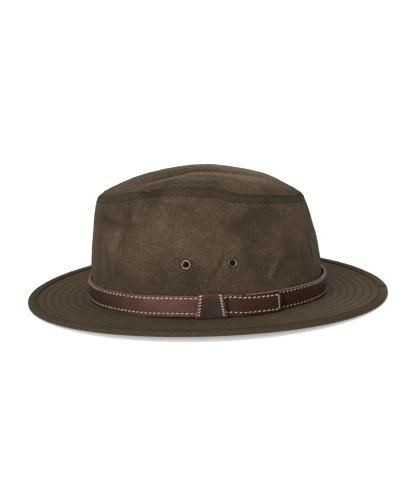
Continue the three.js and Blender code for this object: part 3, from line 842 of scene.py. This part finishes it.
def crown_skin(angle, up):
    """The crown's smooth skin: up the wall to 1, over the shoulder to 2 and into the dent to 3."""
    angle, up = np.broadcast_arrays(np.asarray(angle, float), np.asarray(up, float))
    edge = wall(angle, 1.0)
    crest = crest_point(angle)
    over = np.clip(up - 1, 0, 1)
    down = np.clip(up - 2, 0, 1)
    shoulder = blend(edge, crest, over, np.sin(over * math.pi / 2))
    dent = blend(crest, dent_floor(angle), down, (1 - np.cos(down * math.pi)) / 2)
    low = wall(angle, np.minimum(up, 1))
    return np.where((up <= 1)[..., None], low, np.where((up <= 2)[..., None], shoulder, dent))


def crown_up(angle, distance):
    """Place on the crown's skin that lies a distance above the top of the wall."""
    below = seam_height(angle) - foot_arch(angle) - GAP
    above = np.linalg.norm(crest_point(angle) - wall(angle, 1.0), axis=-1)
    return 1 + np.where(distance < 0, distance / below, distance / above)


def crown_relief(skin):
    """How far the cloth stands out from the smooth skin, and its tone: paler above 0 and darker below 0,
    from rubbed and thick wax and from painted light and shade of creases and folds.
    """
    push = relief(skin, 38 * MM, 1) * 0.7 * MM + relief(skin, 15 * MM, 2) * 0.25 * MM
    push = push + (ridges(skin, 30 * MM, 3) - 0.3) * 0.2 * MM
    tone = np.zeros(skin.shape[:-1])
    mirrored = skin.copy()
    mirrored[..., 1] = -np.abs(skin[..., 1])
    for wide, high, right, path in CREASES:
        is_far = path[0][1] > 0
        away, share = near_path(skin if is_far else mirrored, path)
        side = 1.0 if is_far else np.where(skin[..., 1] > 0, right, 1.0)
        shape = np.exp(-(away / (wide * MM)) ** 2) * np.clip(5 * share * (1 - share), 0, 1)
        push = push + high * MM * shape * side
        # Raised creases get paler, from wax rubbed thin and from painted light. Sunk hollows get darker,
        # which is painted shade.
        tone = tone + high * (0.45 if high > 0 else 0.5) * shape * side
    for wide, strength, path in STAINS_AND_PAINTED_SHADING:
        away, _ = near_path(skin, path)
        tone = tone + strength * np.exp(-(away / (wide * MM)) ** 2)
    return push, np.clip(tone, -1, 1)


def seam_pucker(skin, down):
    """Small puckers of the cloth beside the seam."""
    return relief(skin, 5 * MM, 4, 2) * 0.15 * MM * np.exp(-((down - 3 * MM) / (5 * MM)) ** 2)


def open_hole(outer, inner, centre, normal):
    """Shapes the edge of a round hole in both skins and returns the cells that it takes."""
    after = np.roll(outer, -1, axis=1)
    middle = (outer[:-1] + after[:-1] + outer[1:] + after[1:]) / 4
    radius = EYELET_HOLE + 0.75 * MM
    cells = np.zeros(outer.shape[:2], bool)
    cells[:-1] = np.linalg.norm(middle - centre, axis=-1) < radius
    corners = [np.roll(np.roll(cells, i, axis=0), j, axis=1) for i in (0, 1) for j in (0, 1)]
    border = np.any(corners, axis=0) & ~np.all(corners, axis=0)
    for skin, depth in ((outer, 0), (inner, CLOTH)):
        away = skin[border] - (centre - normal * depth)
        lift = (away @ normal)[:, None] * normal
        skin[border] += (unit(away - lift) * radius) - (away - lift)
    return cells


def hole_lining(cells, count, shift):
    """Faces that join the outer and inner edges of a hole."""
    def across(vertex):
        ring, j = divmod(vertex, AROUND)
        return (shift + count - 1 - ring) * AROUND + j

    faces = []
    for i, j in np.argwhere(cells).tolist():
        after = (j + 1) % AROUND
        corners = (i * AROUND + j, i * AROUND + after, (i + 1) * AROUND + after, (i + 1) * AROUND + j)
        beside_it = ((i - 1, j), (i, after), (i + 1, j), (i, j - 1))
        for k in range(4):
            if not cells[beside_it[k]]:
                a, b = corners[k], corners[(k + 1) % 4]
                faces.append((a, b, across(b), across(a)))
    return faces


def seam_edge():
    """How far the wall's folded edge strays, and how far below it the second row of stitches runs."""
    along = (1 + np.cos(ANGLES)) / 2
    return curve(SEAM_LINE, "along", "shift", along) * MM, curve(SEAM_LINE, "along", "lap", along) * MM


def crown_side():
    """Side wall, with its folded top edge stitched down twice and a round hole for each eyelet."""
    shift, lap = seam_edge()
    fine = 12 * MM
    below = np.concatenate((np.linspace(fine, 8.6 * MM, 5), np.linspace(8.2 * MM, 0, 30)))[:, None]
    low = np.linspace(0, 1, 58)[:-1, None] * crown_up(ANGLES, shift - fine)
    high = crown_up(ANGLES[None, :], shift - below)
    ups = np.concatenate((low, high))
    down = np.concatenate((np.full((len(low), 1), 30 * MM), below)) * np.ones((1, AROUND))
    skin = crown_skin(ANGLES[None, :], ups)
    push, tone = crown_relief(skin)
    push = push * np.clip(ups / 0.2, 0, 1)
    stitched_and_shaded = sum(np.exp(-((down - row) / (0.5 * MM)) ** 2) for row in (SEAM_FIRST_ROW, lap[None, :]))
    puff = np.clip(1 - ((down - lap / 2) / (lap / 2)) ** 2, 0, 1) * 0.35 * MM
    push = push + puff - SEWN_DEEP * stitched_and_shaded + seam_pucker(skin, down)
    outer = skin + ring_normals(skin) * push[..., None]
    inner = outer - ring_normals(outer) * CLOTH
    count = len(outer)
    top = rolled(outer[-1], inner[-1], outer[-1] - outer[-2], 4, 0.5)
    foot = rolled(inner[0], outer[0], outer[0] - outer[1], 3, 0.25)
    shift_in = count + len(top)
    total = shift_in + count + len(foot)
    skip = np.zeros((total, AROUND), bool)
    bridges = []
    for _, centre, normal in eyelet_places():
        cells = open_hole(outer, inner, centre, normal)
        skip[:count] |= cells
        skip[shift_in:shift_in + count - 1] |= cells[:-1][::-1]
        bridges += hole_lining(cells, count, shift_in)
    marks = {"stitched_and_shaded": np.zeros((total, AROUND)), "rubbed": np.zeros((total, AROUND))}
    # The folded strip between the two rows is darker than the cloth below it.
    strip = np.clip((lap[None, :] - down) / (0.8 * MM), 0, 1)
    # Painted shade darkens the stitch rows and sunk hollows, and thick wax darkens some places. Paler tone
    # is wax rubbed thin and painted light.
    marks["stitched_and_shaded"][:count] = np.clip(0.15 * stitched_and_shaded + 0.45 * strip - tone, 0, 1)
    marks["rubbed"][:count] = np.clip(tone, 0, 1)
    rings = np.array(list(outer) + top + list(inner[::-1]) + foot)
    piece = closed_piece("crown_side_cotton", rings, True, [COTTON], None, marks, skip, bridges)
    fit(piece, "waxed_cotton", "crown_side")


def crown_tip():
    """Top panel: a skirt inside the side wall, up over the crest and down into the dent."""
    shift, _ = seam_edge()
    below = (8, 6, 4, 2.5, 1.6, 1, 0.5, 0.2, 0, -0.25, -0.5, -0.8, -1.2, -1.8, -2.6, -3.6)
    below = np.array(below)[:, None] * MM
    start = crown_up(ANGLES[None, :], shift - below)
    shoulder = start[-1] + (2 - start[-1]) * np.linspace(0, 1, 20)[1:, None]
    dent = np.linspace(2, 3, 34)[1:, None] * np.ones((1, AROUND))
    ups = np.concatenate((start, shoulder, dent))
    skin = crown_skin(ANGLES[None, :], ups)
    centre = skin[-1].mean(0)
    skin = np.concatenate((skin, [centre + (skin[-1] - centre) * s for s in (0.8, 0.55, 0.3, 0.1)]))
    down = np.full((len(skin), 1), -30 * MM)
    down[:len(below)] = below
    push, tone = crown_relief(skin)
    push = push * np.clip((len(skin) - 1 - np.arange(len(skin))) / 8, 0, 1)[:, None]
    # The panel tucks in under the folded edge of the side wall.
    tuck = np.clip((down + 0.9 * MM) / (0.7 * MM), 0, 1)
    push = push - 0.1 * MM - (CLOTH + SEAM_GAP) * tuck ** 2 * (3 - 2 * tuck)
    push = push + seam_pucker(skin, down)
    outer = skin + ring_normals(skin) * push[..., None]
    inner = outer - ring_normals(outer) * CLOTH
    foot = rolled(inner[0], outer[0], outer[0] - outer[1], 3)
    rings = list(inner[::-1]) + foot + list(outer)
    marks = {mark: np.zeros((len(rings), AROUND)) for mark in ("stitched_and_shaded", "rubbed")}
    # The top is paler above the seam, most of all along the crest: partly wax rubbed thin, partly painted
    # light on the top, which faces up.
    over = np.clip((skin[..., 2] - skin[len(below), :, 2]) / (7 * MM), 0, 1)
    crest = np.exp(-((ups - 2) / 0.45) ** 2)
    crest = np.concatenate((crest, np.zeros((len(skin) - len(ups), AROUND))))
    marks["rubbed"][-len(outer):] = np.clip(tone + 0.38 * over + 0.62 * crest * over, 0, 1)
    # The dark line just above the seam is painted shade in the ditch where the panel tucks under the folded
    # edge.
    marks["stitched_and_shaded"][-len(outer):] = np.clip(np.exp(-((down + 0.4 * MM) / (0.5 * MM)) ** 2) - tone, 0, 1)
    piece = closed_piece("crown_tip_cotton", rings, False, [COTTON], None, marks)
    fit(piece, "waxed_cotton", "crown_tip")


def seam_sewing():
    """Two rows of stitches below the folded edge of the side wall."""
    shift, lap = seam_edge()
    rows = []
    for seed, below in enumerate((np.full(AROUND, SEAM_FIRST_ROW), lap)):
        around = np.array((-0.5, 0, 0.5))[:, None] * MM
        skin = crown_skin(ANGLES[None, :], crown_up(ANGLES[None, :], shift - below + around))
        normals = ring_normals(skin)[1]
        push = crown_relief(skin)[0][1] - 0.08 * MM
        line = skin[1] + normals * push[:, None]
        rows.append(sewn_row(line, normals, SEAM_STITCH, seed + 11, True))
    form, faces = thread_form(SEAM_STITCH, 5, 5)
    piece = joined_copies("crown_seam_stitches", gather(rows), form, faces, OLIVE_THREAD)
    fit(piece, "waxed_cotton")


# Brim

def brim_rows():
    """Distances in from the edge of the brim's stitched rows."""
    return [BRIM_FIRST_ROW + k * BRIM_ROW_PITCH for k in range(BRIM_ROWS)]


def brim_face(height, way):
    """One face of the brim from the binding in, sunk along each stitched row, with its marks."""
    insets = [BINDING_THICK + GAP, 4 * MM, BINDING_WIDE + GAP]
    for row in brim_rows():
        insets += [row + step * MM for step in (-3.4, -2.2, -1.2, -0.6, -0.25, 0, 0.25, 0.6, 1.2, 2.2)]
    insets.append(brim_rows()[-1] + 3 * MM)
    insets = np.array(sorted(insets))[:, None]
    face = brim_point(ANGLES[None, :], insets, height)
    stitched_and_shaded = sum(np.exp(-((insets - row) / (0.4 * MM)) ** 2) for row in brim_rows())
    sink = 0.35 * MM * stitched_and_shaded + ((BRIM_THICK - BRIM_EDGE_THICK) / 2) * (insets < BINDING_WIDE + GAP / 2)
    puff = relief(face, 6 * MM, 8, 2) * 0.03 * MM + relief(face, 30 * MM, 9) * 0.15 * MM
    clear = np.clip((insets - BINDING_WIDE) / (6 * MM), 0, 1)
    face[..., 2] += puff * clear - way * sink
    # The returned mark is painted shade along the stitched grooves, strongest at the front and back.
    return face, stitched_and_shaded * (0.35 + 0.65 * np.cos(ANGLES)[None, :] ** 2)


def brim():
    """Brim with its quilted rows, and the collar that turns up inside the crown."""
    top, top_stitched_and_shaded = brim_face(BRIM_TOP, 1)
    under, under_stitched_and_shaded = brim_face(BRIM_UNDER, -1)

    def collar(inset, up):
        ring = wall(ANGLES, np.maximum(0, rise_at(ANGLES, up)), -inset)
        ring[:, 2] = BRIM_TOP + up + foot_arch(ANGLES)
        return ring

    outer = CLOTH + GAP
    inner = outer + CLOTH
    shares = (0.05, 0.3, 0.6, 0.9)
    collar_up = [collar(outer, 0)] + [collar(outer, COLLAR_TALL * s) for s in shares]
    collar_up += rolled(collar(outer, COLLAR_TALL), collar(inner, COLLAR_TALL), np.array((0, 0, 1.0)), 4)
    collar_up += [collar(inner, COLLAR_TALL * s) for s in shares[::-1]] + [collar(inner, -BRIM_THICK)]
    rings = np.array(list(top) + collar_up + list(under[::-1]))
    stitched_and_shaded = np.concatenate((top_stitched_and_shaded, np.zeros((len(collar_up), AROUND)), under_stitched_and_shaded[::-1]))
    # The brim is a little paler all round, and most of all at the back of the left side.
    from_back = np.abs(np.arctan2(np.sin(ANGLES + 0.5), np.cos(ANGLES + 0.5)))
    ends = (0.1 + 0.5 * np.exp(-(from_back / 0.6) ** 2)) * np.ones((len(rings), 1))
    piece = closed_piece("brim_cotton", rings, True, [BRIM_COTTON], None, {"stitched_and_shaded": stitched_and_shaded, "rubbed": ends})
    fit(piece, "waxed_cotton", "brim")


def brim_sewing():
    """The stitched rows of the brim, above and below, and of the binding."""
    form, faces = thread_form(BRIM_STITCH, 4, 4)
    sides = (("over", BRIM_TOP, BINDING_TALL, 1), ("under", BRIM_UNDER, 0, -1))
    for name, height, edge, way in sides:
        normals = np.tile((0.0, 0.0, float(way)), (AROUND, 1))
        lines = [(row, height - way * 0.33 * MM, 20 + k) for k, row in enumerate(brim_rows())]
        lines.append((BINDING_ROW_IN, edge - way * 0.22 * MM, 40))
        rows = []
        for inset, level, seed in lines:
            line = brim_point(ANGLES, inset, level)
            rows.append(sewn_row(line, normals, BRIM_STITCH, seed, True))
        piece = joined_copies(f"brim_stitches_{name}", gather(rows), form, faces, OLIVE_THREAD)
        fit(piece, "waxed_cotton")


def brim_binding():
    """Binding folded round the edge of the brim, lapped at its join."""
    round_off = 1.5 * MM
    section = []
    for inset in np.linspace(BINDING_WIDE, round_off, 12):
        section.append((inset, 0.0, True))
    for k in range(1, 10):
        turn = -math.pi / 2 + math.pi * k / 10
        section.append((round_off * (1 - math.cos(turn)), BINDING_TALL / 2 * (1 + math.sin(turn)), True))
    for inset in np.linspace(round_off, BINDING_WIDE, 12):
        section.append((inset, BINDING_TALL, True))
    section += [(BINDING_WIDE + 0.25 * MM, BINDING_TALL - 0.3 * MM, True),
                (BINDING_WIDE, BINDING_TALL - BINDING_THICK, False),
                (BINDING_THICK, BINDING_TALL - BINDING_THICK, False),
                (BINDING_THICK, BINDING_THICK, False),
                (BINDING_WIDE, BINDING_THICK, False),
                (BINDING_WIDE + 0.25 * MM, 0.3 * MM, True)]
    # More points where the join steps up and where its slit lies.
    lap = JOIN_LAP / BRIM_HALF_WIDTH
    extra = JOIN_ANGLE + np.array((-0.012, -0.006, -0.0045, -0.002, 0, 0.003, lap * 0.98, lap))
    around = np.sort(np.concatenate((ANGLES[ANGLES < TURN - 0.02], extra)))
    past = around - JOIN_ANGLE
    step = np.where((past >= 0) & (past <= lap), JOIN_STEP * (1 - past / lap * 0.7), 0)
    slit = np.exp(-((past + 0.003) / 0.003) ** 2)
    rings = []
    marks = []
    for inset, height, is_outer in section:
        stitched_and_shaded = math.exp(-((inset - BINDING_ROW_IN) / (0.5 * MM)) ** 2) if is_outer else 0.0
        is_top = height > BINDING_TALL / 2
        if is_outer and is_top:
            height = height + step - 0.3 * MM * stitched_and_shaded - 0.5 * MM * slit
        ring = brim_point(around, inset, height)
        if is_outer:
            ring[:, 2] += relief(ring, 7 * MM, 10, 2) * 0.1 * MM * is_top
        rings.append(ring)
        # The mark is painted shade along the stitch row and a painted shadow in the slit of the join.
        marks.append(np.clip(stitched_and_shaded + slit * is_top * 2, 0, 1))
    stitched_and_shaded = np.array(marks)
    back_end = 0.5 * np.exp(-(np.sin(around / 2) / 0.14) ** 2)
    rubbed = [0.1 + back_end for _ in section]
    piece = closed_piece("brim_binding_cotton", rings, True, [SHADED_BINDING_COTTON], None,
                         {"stitched_and_shaded": stitched_and_shaded, "rubbed": rubbed})
    fit(piece, "binding_cotton", "brim_binding")


# Leather band

def strap_at(angle):
    """Distance of the strap from the wall and from the brim at an angle of its course."""
    at = np.degrees(angle)
    out = (GAP + eased(COURSE, "at", "keeper", at) * (KEEPER_THICK + GAP)
           + eased(COURSE, "at", "turn", at) * (BAND_THICK + GAP)
           + eased(COURSE, "at", "loose", at) * BAND_LOOSE)
    up = GAP + eased(COURSE, "at", "lift", at) * (KEEPER_THICK + GAP)
    return out, up


# Places along the strap's course: its hidden start, a place far back on the right where its cut edge
# turns from pale tan to a darker brown, where it rides up over its own start, and its free end. A radian
# of the course near that end is one tail radius long.
STRAP_START = math.radians(COURSE["at"][0])
FAR_BACK = math.radians(400)
TAIL_START = math.radians(646)
STRAP_END = 2 * TURN - math.acos(TAIL_BACK / CROWN_HALF_LENGTH)
TAIL_RADIUS = CROWN_HALF_LENGTH * 0.93
KEEPER_MIDDLE = TURN - math.acos(KEEPER_BACK / CROWN_HALF_LENGTH)


def strap_section():
    """Outline of the strap: share of its thickness, height, and whether it is the cut edge."""
    edge = BAND_EDGE_ROUND
    tall = BAND_TALL
    section = [(0.0, 0.25 * MM, 1), (0.3, 0.0, 1), (0.72, 0.03 * MM, 1), (0.9, 0.2 * MM, 1),
               (0.985, edge, 0)]
    for height in np.linspace(2 * edge, tall - 2 * edge, 28):
        pressed = sum(math.exp(-((height - row) / (0.6 * MM)) ** 2) for row in (BAND_LOW_ROW, BAND_HIGH_ROW))
        section.append((1.0 - 0.15 * pressed, height, 0))
    section += [(0.985, tall - edge, 0), (0.93, tall - 0.25 * MM, 1), (0.74, tall - 0.03 * MM, 1),
                (0.3, tall, 1), (0.0, tall - 0.25 * MM, 0)]
    return section + [(0.0, height, 0) for height in np.linspace(BAND_TALL - 2 * MM, 2 * MM, 6)]


def strap_height(angle, height, corner=0.0):
    """Height of a place on the strap, whose tail is a little narrower at its top edge."""
    _, up = strap_at(angle)
    narrow = TAIL_NARROW * np.clip((angle - TAIL_START) / 0.1, 0, 1)
    return up + corner + height * (BAND_TALL - narrow - 2 * corner) / BAND_TALL


def strap_ring(angle, corner=0.0):
    """One section of the strap, with its corners cut at the free end."""
    out, _ = strap_at(angle)
    return [beside(angle, float(out) + share * BAND_THICK, float(strap_height(angle, height, corner)))
            for share, height, _ in strap_section()]


def keeper_side(way):
    """Where along its course the strap comes out from under one side of the keeper."""
    return TURN + KEEPER_MIDDLE + way * (KEEPER_TOP_WIDE + KEEPER_FOOT_WIDE) / 4 / CROWN_HALF_LENGTH


def hat_band():
    """One strap, from its hidden start round the crown, through the keeper and out to its tail."""
    corner = 2.2 * MM
    reach = corner / TAIL_RADIUS
    angles = list(np.arange(STRAP_START, STRAP_END - reach, TURN / 560))
    rings = [strap_ring(a) for a in angles]
    for k in range(1, 7):
        turn = math.pi / 2 * k / 6
        angles.append(STRAP_END - reach * (1 - math.sin(turn)))
        rings.append(strap_ring(angles[-1], corner * (1 - math.cos(turn))))
    rings = np.array(rings)
    angles = np.array(angles)
    uneven = relief(rings, 9 * MM, 12, 2) * 0.07 * MM
    away = (rings - np.array((CROWN_MIDDLE, 0, 0))) * np.array((1, 1, 0))
    rings = rings + unit(away) * uneven[..., None]
    is_cut = np.array([mark for _, _, mark in strap_section()])[None, :]
    bare = is_cut * (angles[:, None] < TAIL_START)
    # Paler where handled, with painted light where the strap faces the front left light.
    handled = sum(np.exp(-((np.degrees(angles) - at) / spread) ** 2) * much for at, spread, much in HANDLED_AND_LIT)
    pale = np.clip((FAR_BACK - angles[:, None]) / 0.3, 0, 1)
    # Painted shadows beside the keeper and past the free end: place, spread in millimetres and strength.
    painted_shadows = ((keeper_side(1) + 0.012, 1.8, 1.0), (keeper_side(-1) - 0.006, 0.8, 0.5),
             (STRAP_END - TURN + 0.02, 3, 1.0))
    pressed = sum(much * np.exp(-((angles - at) * CROWN_HALF_LENGTH / (spread * MM)) ** 2)
                  for at, spread, much in painted_shadows)
    marks = {"rubbed": np.where(is_cut == 1, pale, np.clip(handled, 0, 1)[:, None]),
             "stitched_and_shaded": pressed[:, None] * (1 - is_cut)}
    piece = closed_piece("hat_band_leather", rings, False, [BAND_LEATHER, CUT_EDGE], bare, marks)
    fit(piece, "band_leather", "hat_band")


def facing(angle, count):
    """The same outward direction of the strap for each point of a column of stitches."""
    return np.tile(oval_normal(CROWN_HALF_LENGTH, CROWN_HALF_WIDTH, np.array(angle)), (count, 1))


def band_path(start, end, height, proud):
    """A line along the strap's face at a height above its lower edge, with its normals."""
    angles = np.linspace(start, end, max(8, int((end - start) / TURN * 700)))
    out, _ = strap_at(angles)
    points = beside(angles, out + BAND_THICK + proud, strap_height(angles, height))
    return points, oval_normal(CROWN_HALF_LENGTH, CROWN_HALF_WIDTH, angles)


def band_sewing():
    """Thick cream stitches along both edges of the strap and across its tail."""
    angle = STRAP_END - 2.3 * MM / TAIL_RADIUS
    start = STRAP_START + 4 * MM / CROWN_HALF_LENGTH
    rows = []
    for seed, height in enumerate((BAND_LOW_ROW, BAND_HIGH_ROW)):
        for first, last, size in ((start, FAR_BACK, 0.75), (FAR_BACK, angle, 1.0)):
            path, normals = band_path(first, last, height, -0.2 * MM * size)
            rows.append(sewn_row(path, normals, BAND_STITCH, 50 + seed, False, size))
    out, _ = strap_at(angle)
    heights = np.linspace(BAND_LOW_ROW, BAND_HIGH_ROW, 20)
    column = np.array([beside(angle, float(out) + BAND_THICK + 0.05 * MM, float(strap_height(angle, height)))
                       for height in heights])
    rows.append(sewn_row(column, facing(angle, len(column)), TAIL_STITCH, 60, False, 0.85))
    form, faces = thread_form(BAND_STITCH, 8, 9, 0.12)
    piece = joined_copies("band_stitches", gather(rows), form, faces, CREAM_THREAD)
    fit(piece, "band_leather")


def keeper_wide(height, low, high):
    """Width of the keeper at a height, from its foot to its top."""
    return KEEPER_FOOT_WIDE + (KEEPER_TOP_WIDE - KEEPER_FOOT_WIDE) * (height - low) / (high - low)


def keeper_loop(share, grow, swell=0.0):
    """One loop of the keeper at a share of its half width, with its face raised by a swell."""
    near = KEEPER_NEAR - grow
    far = KEEPER_FAR + grow
    low = KEEPER_LOW - grow
    high = KEEPER_HIGH + grow
    radius = grow * 0.8 + 0.15 * MM
    outline = []
    corners = ((near, low, 1, 1, 180), (far, low, -1, 1, 270),
               (far, high, -1, -1, 0), (near, high, 1, -1, 90))
    for n, (out, height, way_out, way_up, first) in enumerate(corners):
        for k in range(5):
            turn = math.radians(first + 90 * k / 4)
            outline.append((out + way_out * radius + radius * math.cos(turn),
                            height + way_up * radius + radius * math.sin(turn)))
        ahead = corners[(n + 1) % 4]
        if n % 2 == 1:
            sides = np.linspace(height + way_up * radius, ahead[1] + ahead[3] * radius, 11)[1:-1]
            outline += [(out, side) for side in sides]
    ring = []
    for out, height in outline:
        wide = keeper_wide(height, low, high)
        raised = swell if out > (near + far) / 2 else 0.0
        angle = KEEPER_MIDDLE + share * wide / 2 / (CROWN_HALF_LENGTH + out)
        ring.append(beside(angle, out + raised, height))
    return ring


def band_keeper():
    """The keeper: a leather loop round the strap, wider at its foot, with bare cut sides."""
    edge = np.array((0.93, 0.965, 0.99, 1))
    shares = np.concatenate((-edge[::-1], np.linspace(-0.88, 0.88, 19), edge))
    outer = []
    for s in shares:
        pressed = 0.3 * MM * math.exp(-((abs(s) - KEEPER_STITCH_AT) / 0.08) ** 2)
        worn_off = 0.15 * MM if abs(s) > 0.98 else 0.0
        outer.append(keeper_loop(s, KEEPER_THICK - worn_off, -pressed))
    inner = [keeper_loop(s, 0.0) for s in shares[::-1]]
    rings = np.array(outer + inner)
    cut_edge = np.array([abs(s) > 0.94 for s in shares] + [False] * len(shares), int)[:, None]
    cut_edge[len(shares) - 1] = cut_edge[-1] = 1
    height = rings[..., 2] - rings[..., 2].min()
    folded = 0.7 * np.exp(-((height - height.max()) / (1.9 * MM)) ** 2)
    folded = folded + 0.25 * np.exp(-(height / (1.4 * MM)) ** 2)
    out_to = np.abs(np.concatenate((shares, shares[::-1])))[:, None]
    # Paler at the folds, where the leather is worn, and along the cut sides, from wear and a painted
    # highlight on the burnished corners. A painted shade line runs between the stitches and each cut side.
    marks = {"rubbed": np.clip(folded + 0.8 * np.exp(-((out_to - 1) / 0.05) ** 2), 0, 1),
             "stitched_and_shaded": np.exp(-((out_to - 0.9) / 0.035) ** 2) * np.ones(folded.shape)}
    piece = closed_piece("band_keeper_leather", rings, True, [KEEPER_LEATHER, KEEPER_EDGE], cut_edge, marks)
    fit(piece, "keeper_leather", "band_keeper")


def keeper_sewing():
    """Thick cream stitches down both sides of the keeper, slanting in towards its top."""
    far = KEEPER_FAR + KEEPER_THICK
    low = KEEPER_LOW - KEEPER_THICK
    high = KEEPER_HIGH + KEEPER_THICK
    rows = []
    for side in KEEPER_SIDES:
        way = side["way"]
        column = []
        for height in np.linspace(low + 1.9 * MM, high + 0.1 * MM, 24):
            reach = keeper_wide(height, low, high) / 2 * KEEPER_STITCH_AT
            angle = KEEPER_MIDDLE + way * reach / (CROWN_HALF_LENGTH + far)
            column.append(beside(angle, far - 0.3 * MM, height))
        normals = facing(KEEPER_MIDDLE, len(column))
        rows.append(sewn_row(np.array(column), normals, KEEPER_STITCH | side, 70 + way))
    form, faces = thread_form(KEEPER_STITCH, 8, 9, 0.12)
    piece = joined_copies("keeper_stitches", gather(rows), form, faces, TAN_THREAD)
    fit(piece, "keeper_leather")


# Floor, light and camera

def stage_floor():
    """A plain pale floor."""
    half = 6.0
    corners = [(-half, -half, 0), (half, -half, 0), (half, half, 0), (-half, half, 0)]
    new_piece("floor", corners, [(0, 1, 2, 3)], [pale_floor("white_acrylic")])


def soft_light(name, place, aim, size, power):
    """A soft light turned towards a place."""
    lamp = bpy.data.lights.new(name, "AREA")
    lamp.shape = "RECTANGLE"
    lamp.size, lamp.size_y = size
    lamp.energy = power
    holder = placed(name, lamp)
    holder.location = place
    way = Vector(aim) - Vector(place)
    holder.rotation_euler = way.to_track_quat("-Z", "Y").to_euler()


def studio():
    """White room, a large light overhead, one from the front left and one on the ground behind."""
    world = bpy.data.worlds.new("white_room")
    bpy.context.scene.world = world
    world.use_nodes = True
    ground = world.node_tree.nodes["Background"]
    ground.inputs["Color"].default_value = linear("#ffffff")
    ground.inputs["Strength"].default_value = 0.42
    aim = (0, 0, 0.06)
    soft_light("overhead_light", (-0.2, 0.1, 1.7), aim, (1.6, 1.2), 15)
    soft_light("front_left_light", (-0.7, -1.8, 0.75), aim, (1.1, 0.9), 21)
    soft_light("backdrop_light", (0, 2.6, 2.4), (0, 4.4, 0), (7, 3), 130)
    bpy.context.scene.view_settings.view_transform = "Standard"


def camera():
    """The camera, looking a little down on the left side of the hat, with its front a little low."""
    distance = 1.3
    tilt = math.radians(13.9)
    roll = math.radians(1.8)
    aim = Vector((1.5 * MM, 0, 44.3 * MM))
    lens = bpy.data.cameras.new("camera")
    frame_tall = 494
    focal_pixels = 1474
    lens.sensor_width = 36
    lens.lens = focal_pixels * lens.sensor_width / frame_tall
    holder = placed("camera", lens)
    away = Vector((0, -math.cos(tilt), math.sin(tilt)))
    holder.location = aim + away * distance
    turn = (-away).to_track_quat("-Z", "Y") @ Quaternion((0, 0, 1), -roll)
    holder.rotation_euler = turn.to_euler()
    bpy.context.scene.camera = holder


camera()
studio()
stage_floor()
crown_side()
crown_tip()
seam_sewing()
brim()
brim_sewing()
brim_binding()
hat_band()
band_sewing()
band_keeper()
keeper_sewing()
for eyelet_name, eyelet_point, eyelet_normal in eyelet_places():
    eyelet(eyelet_name, eyelet_point, eyelet_normal)
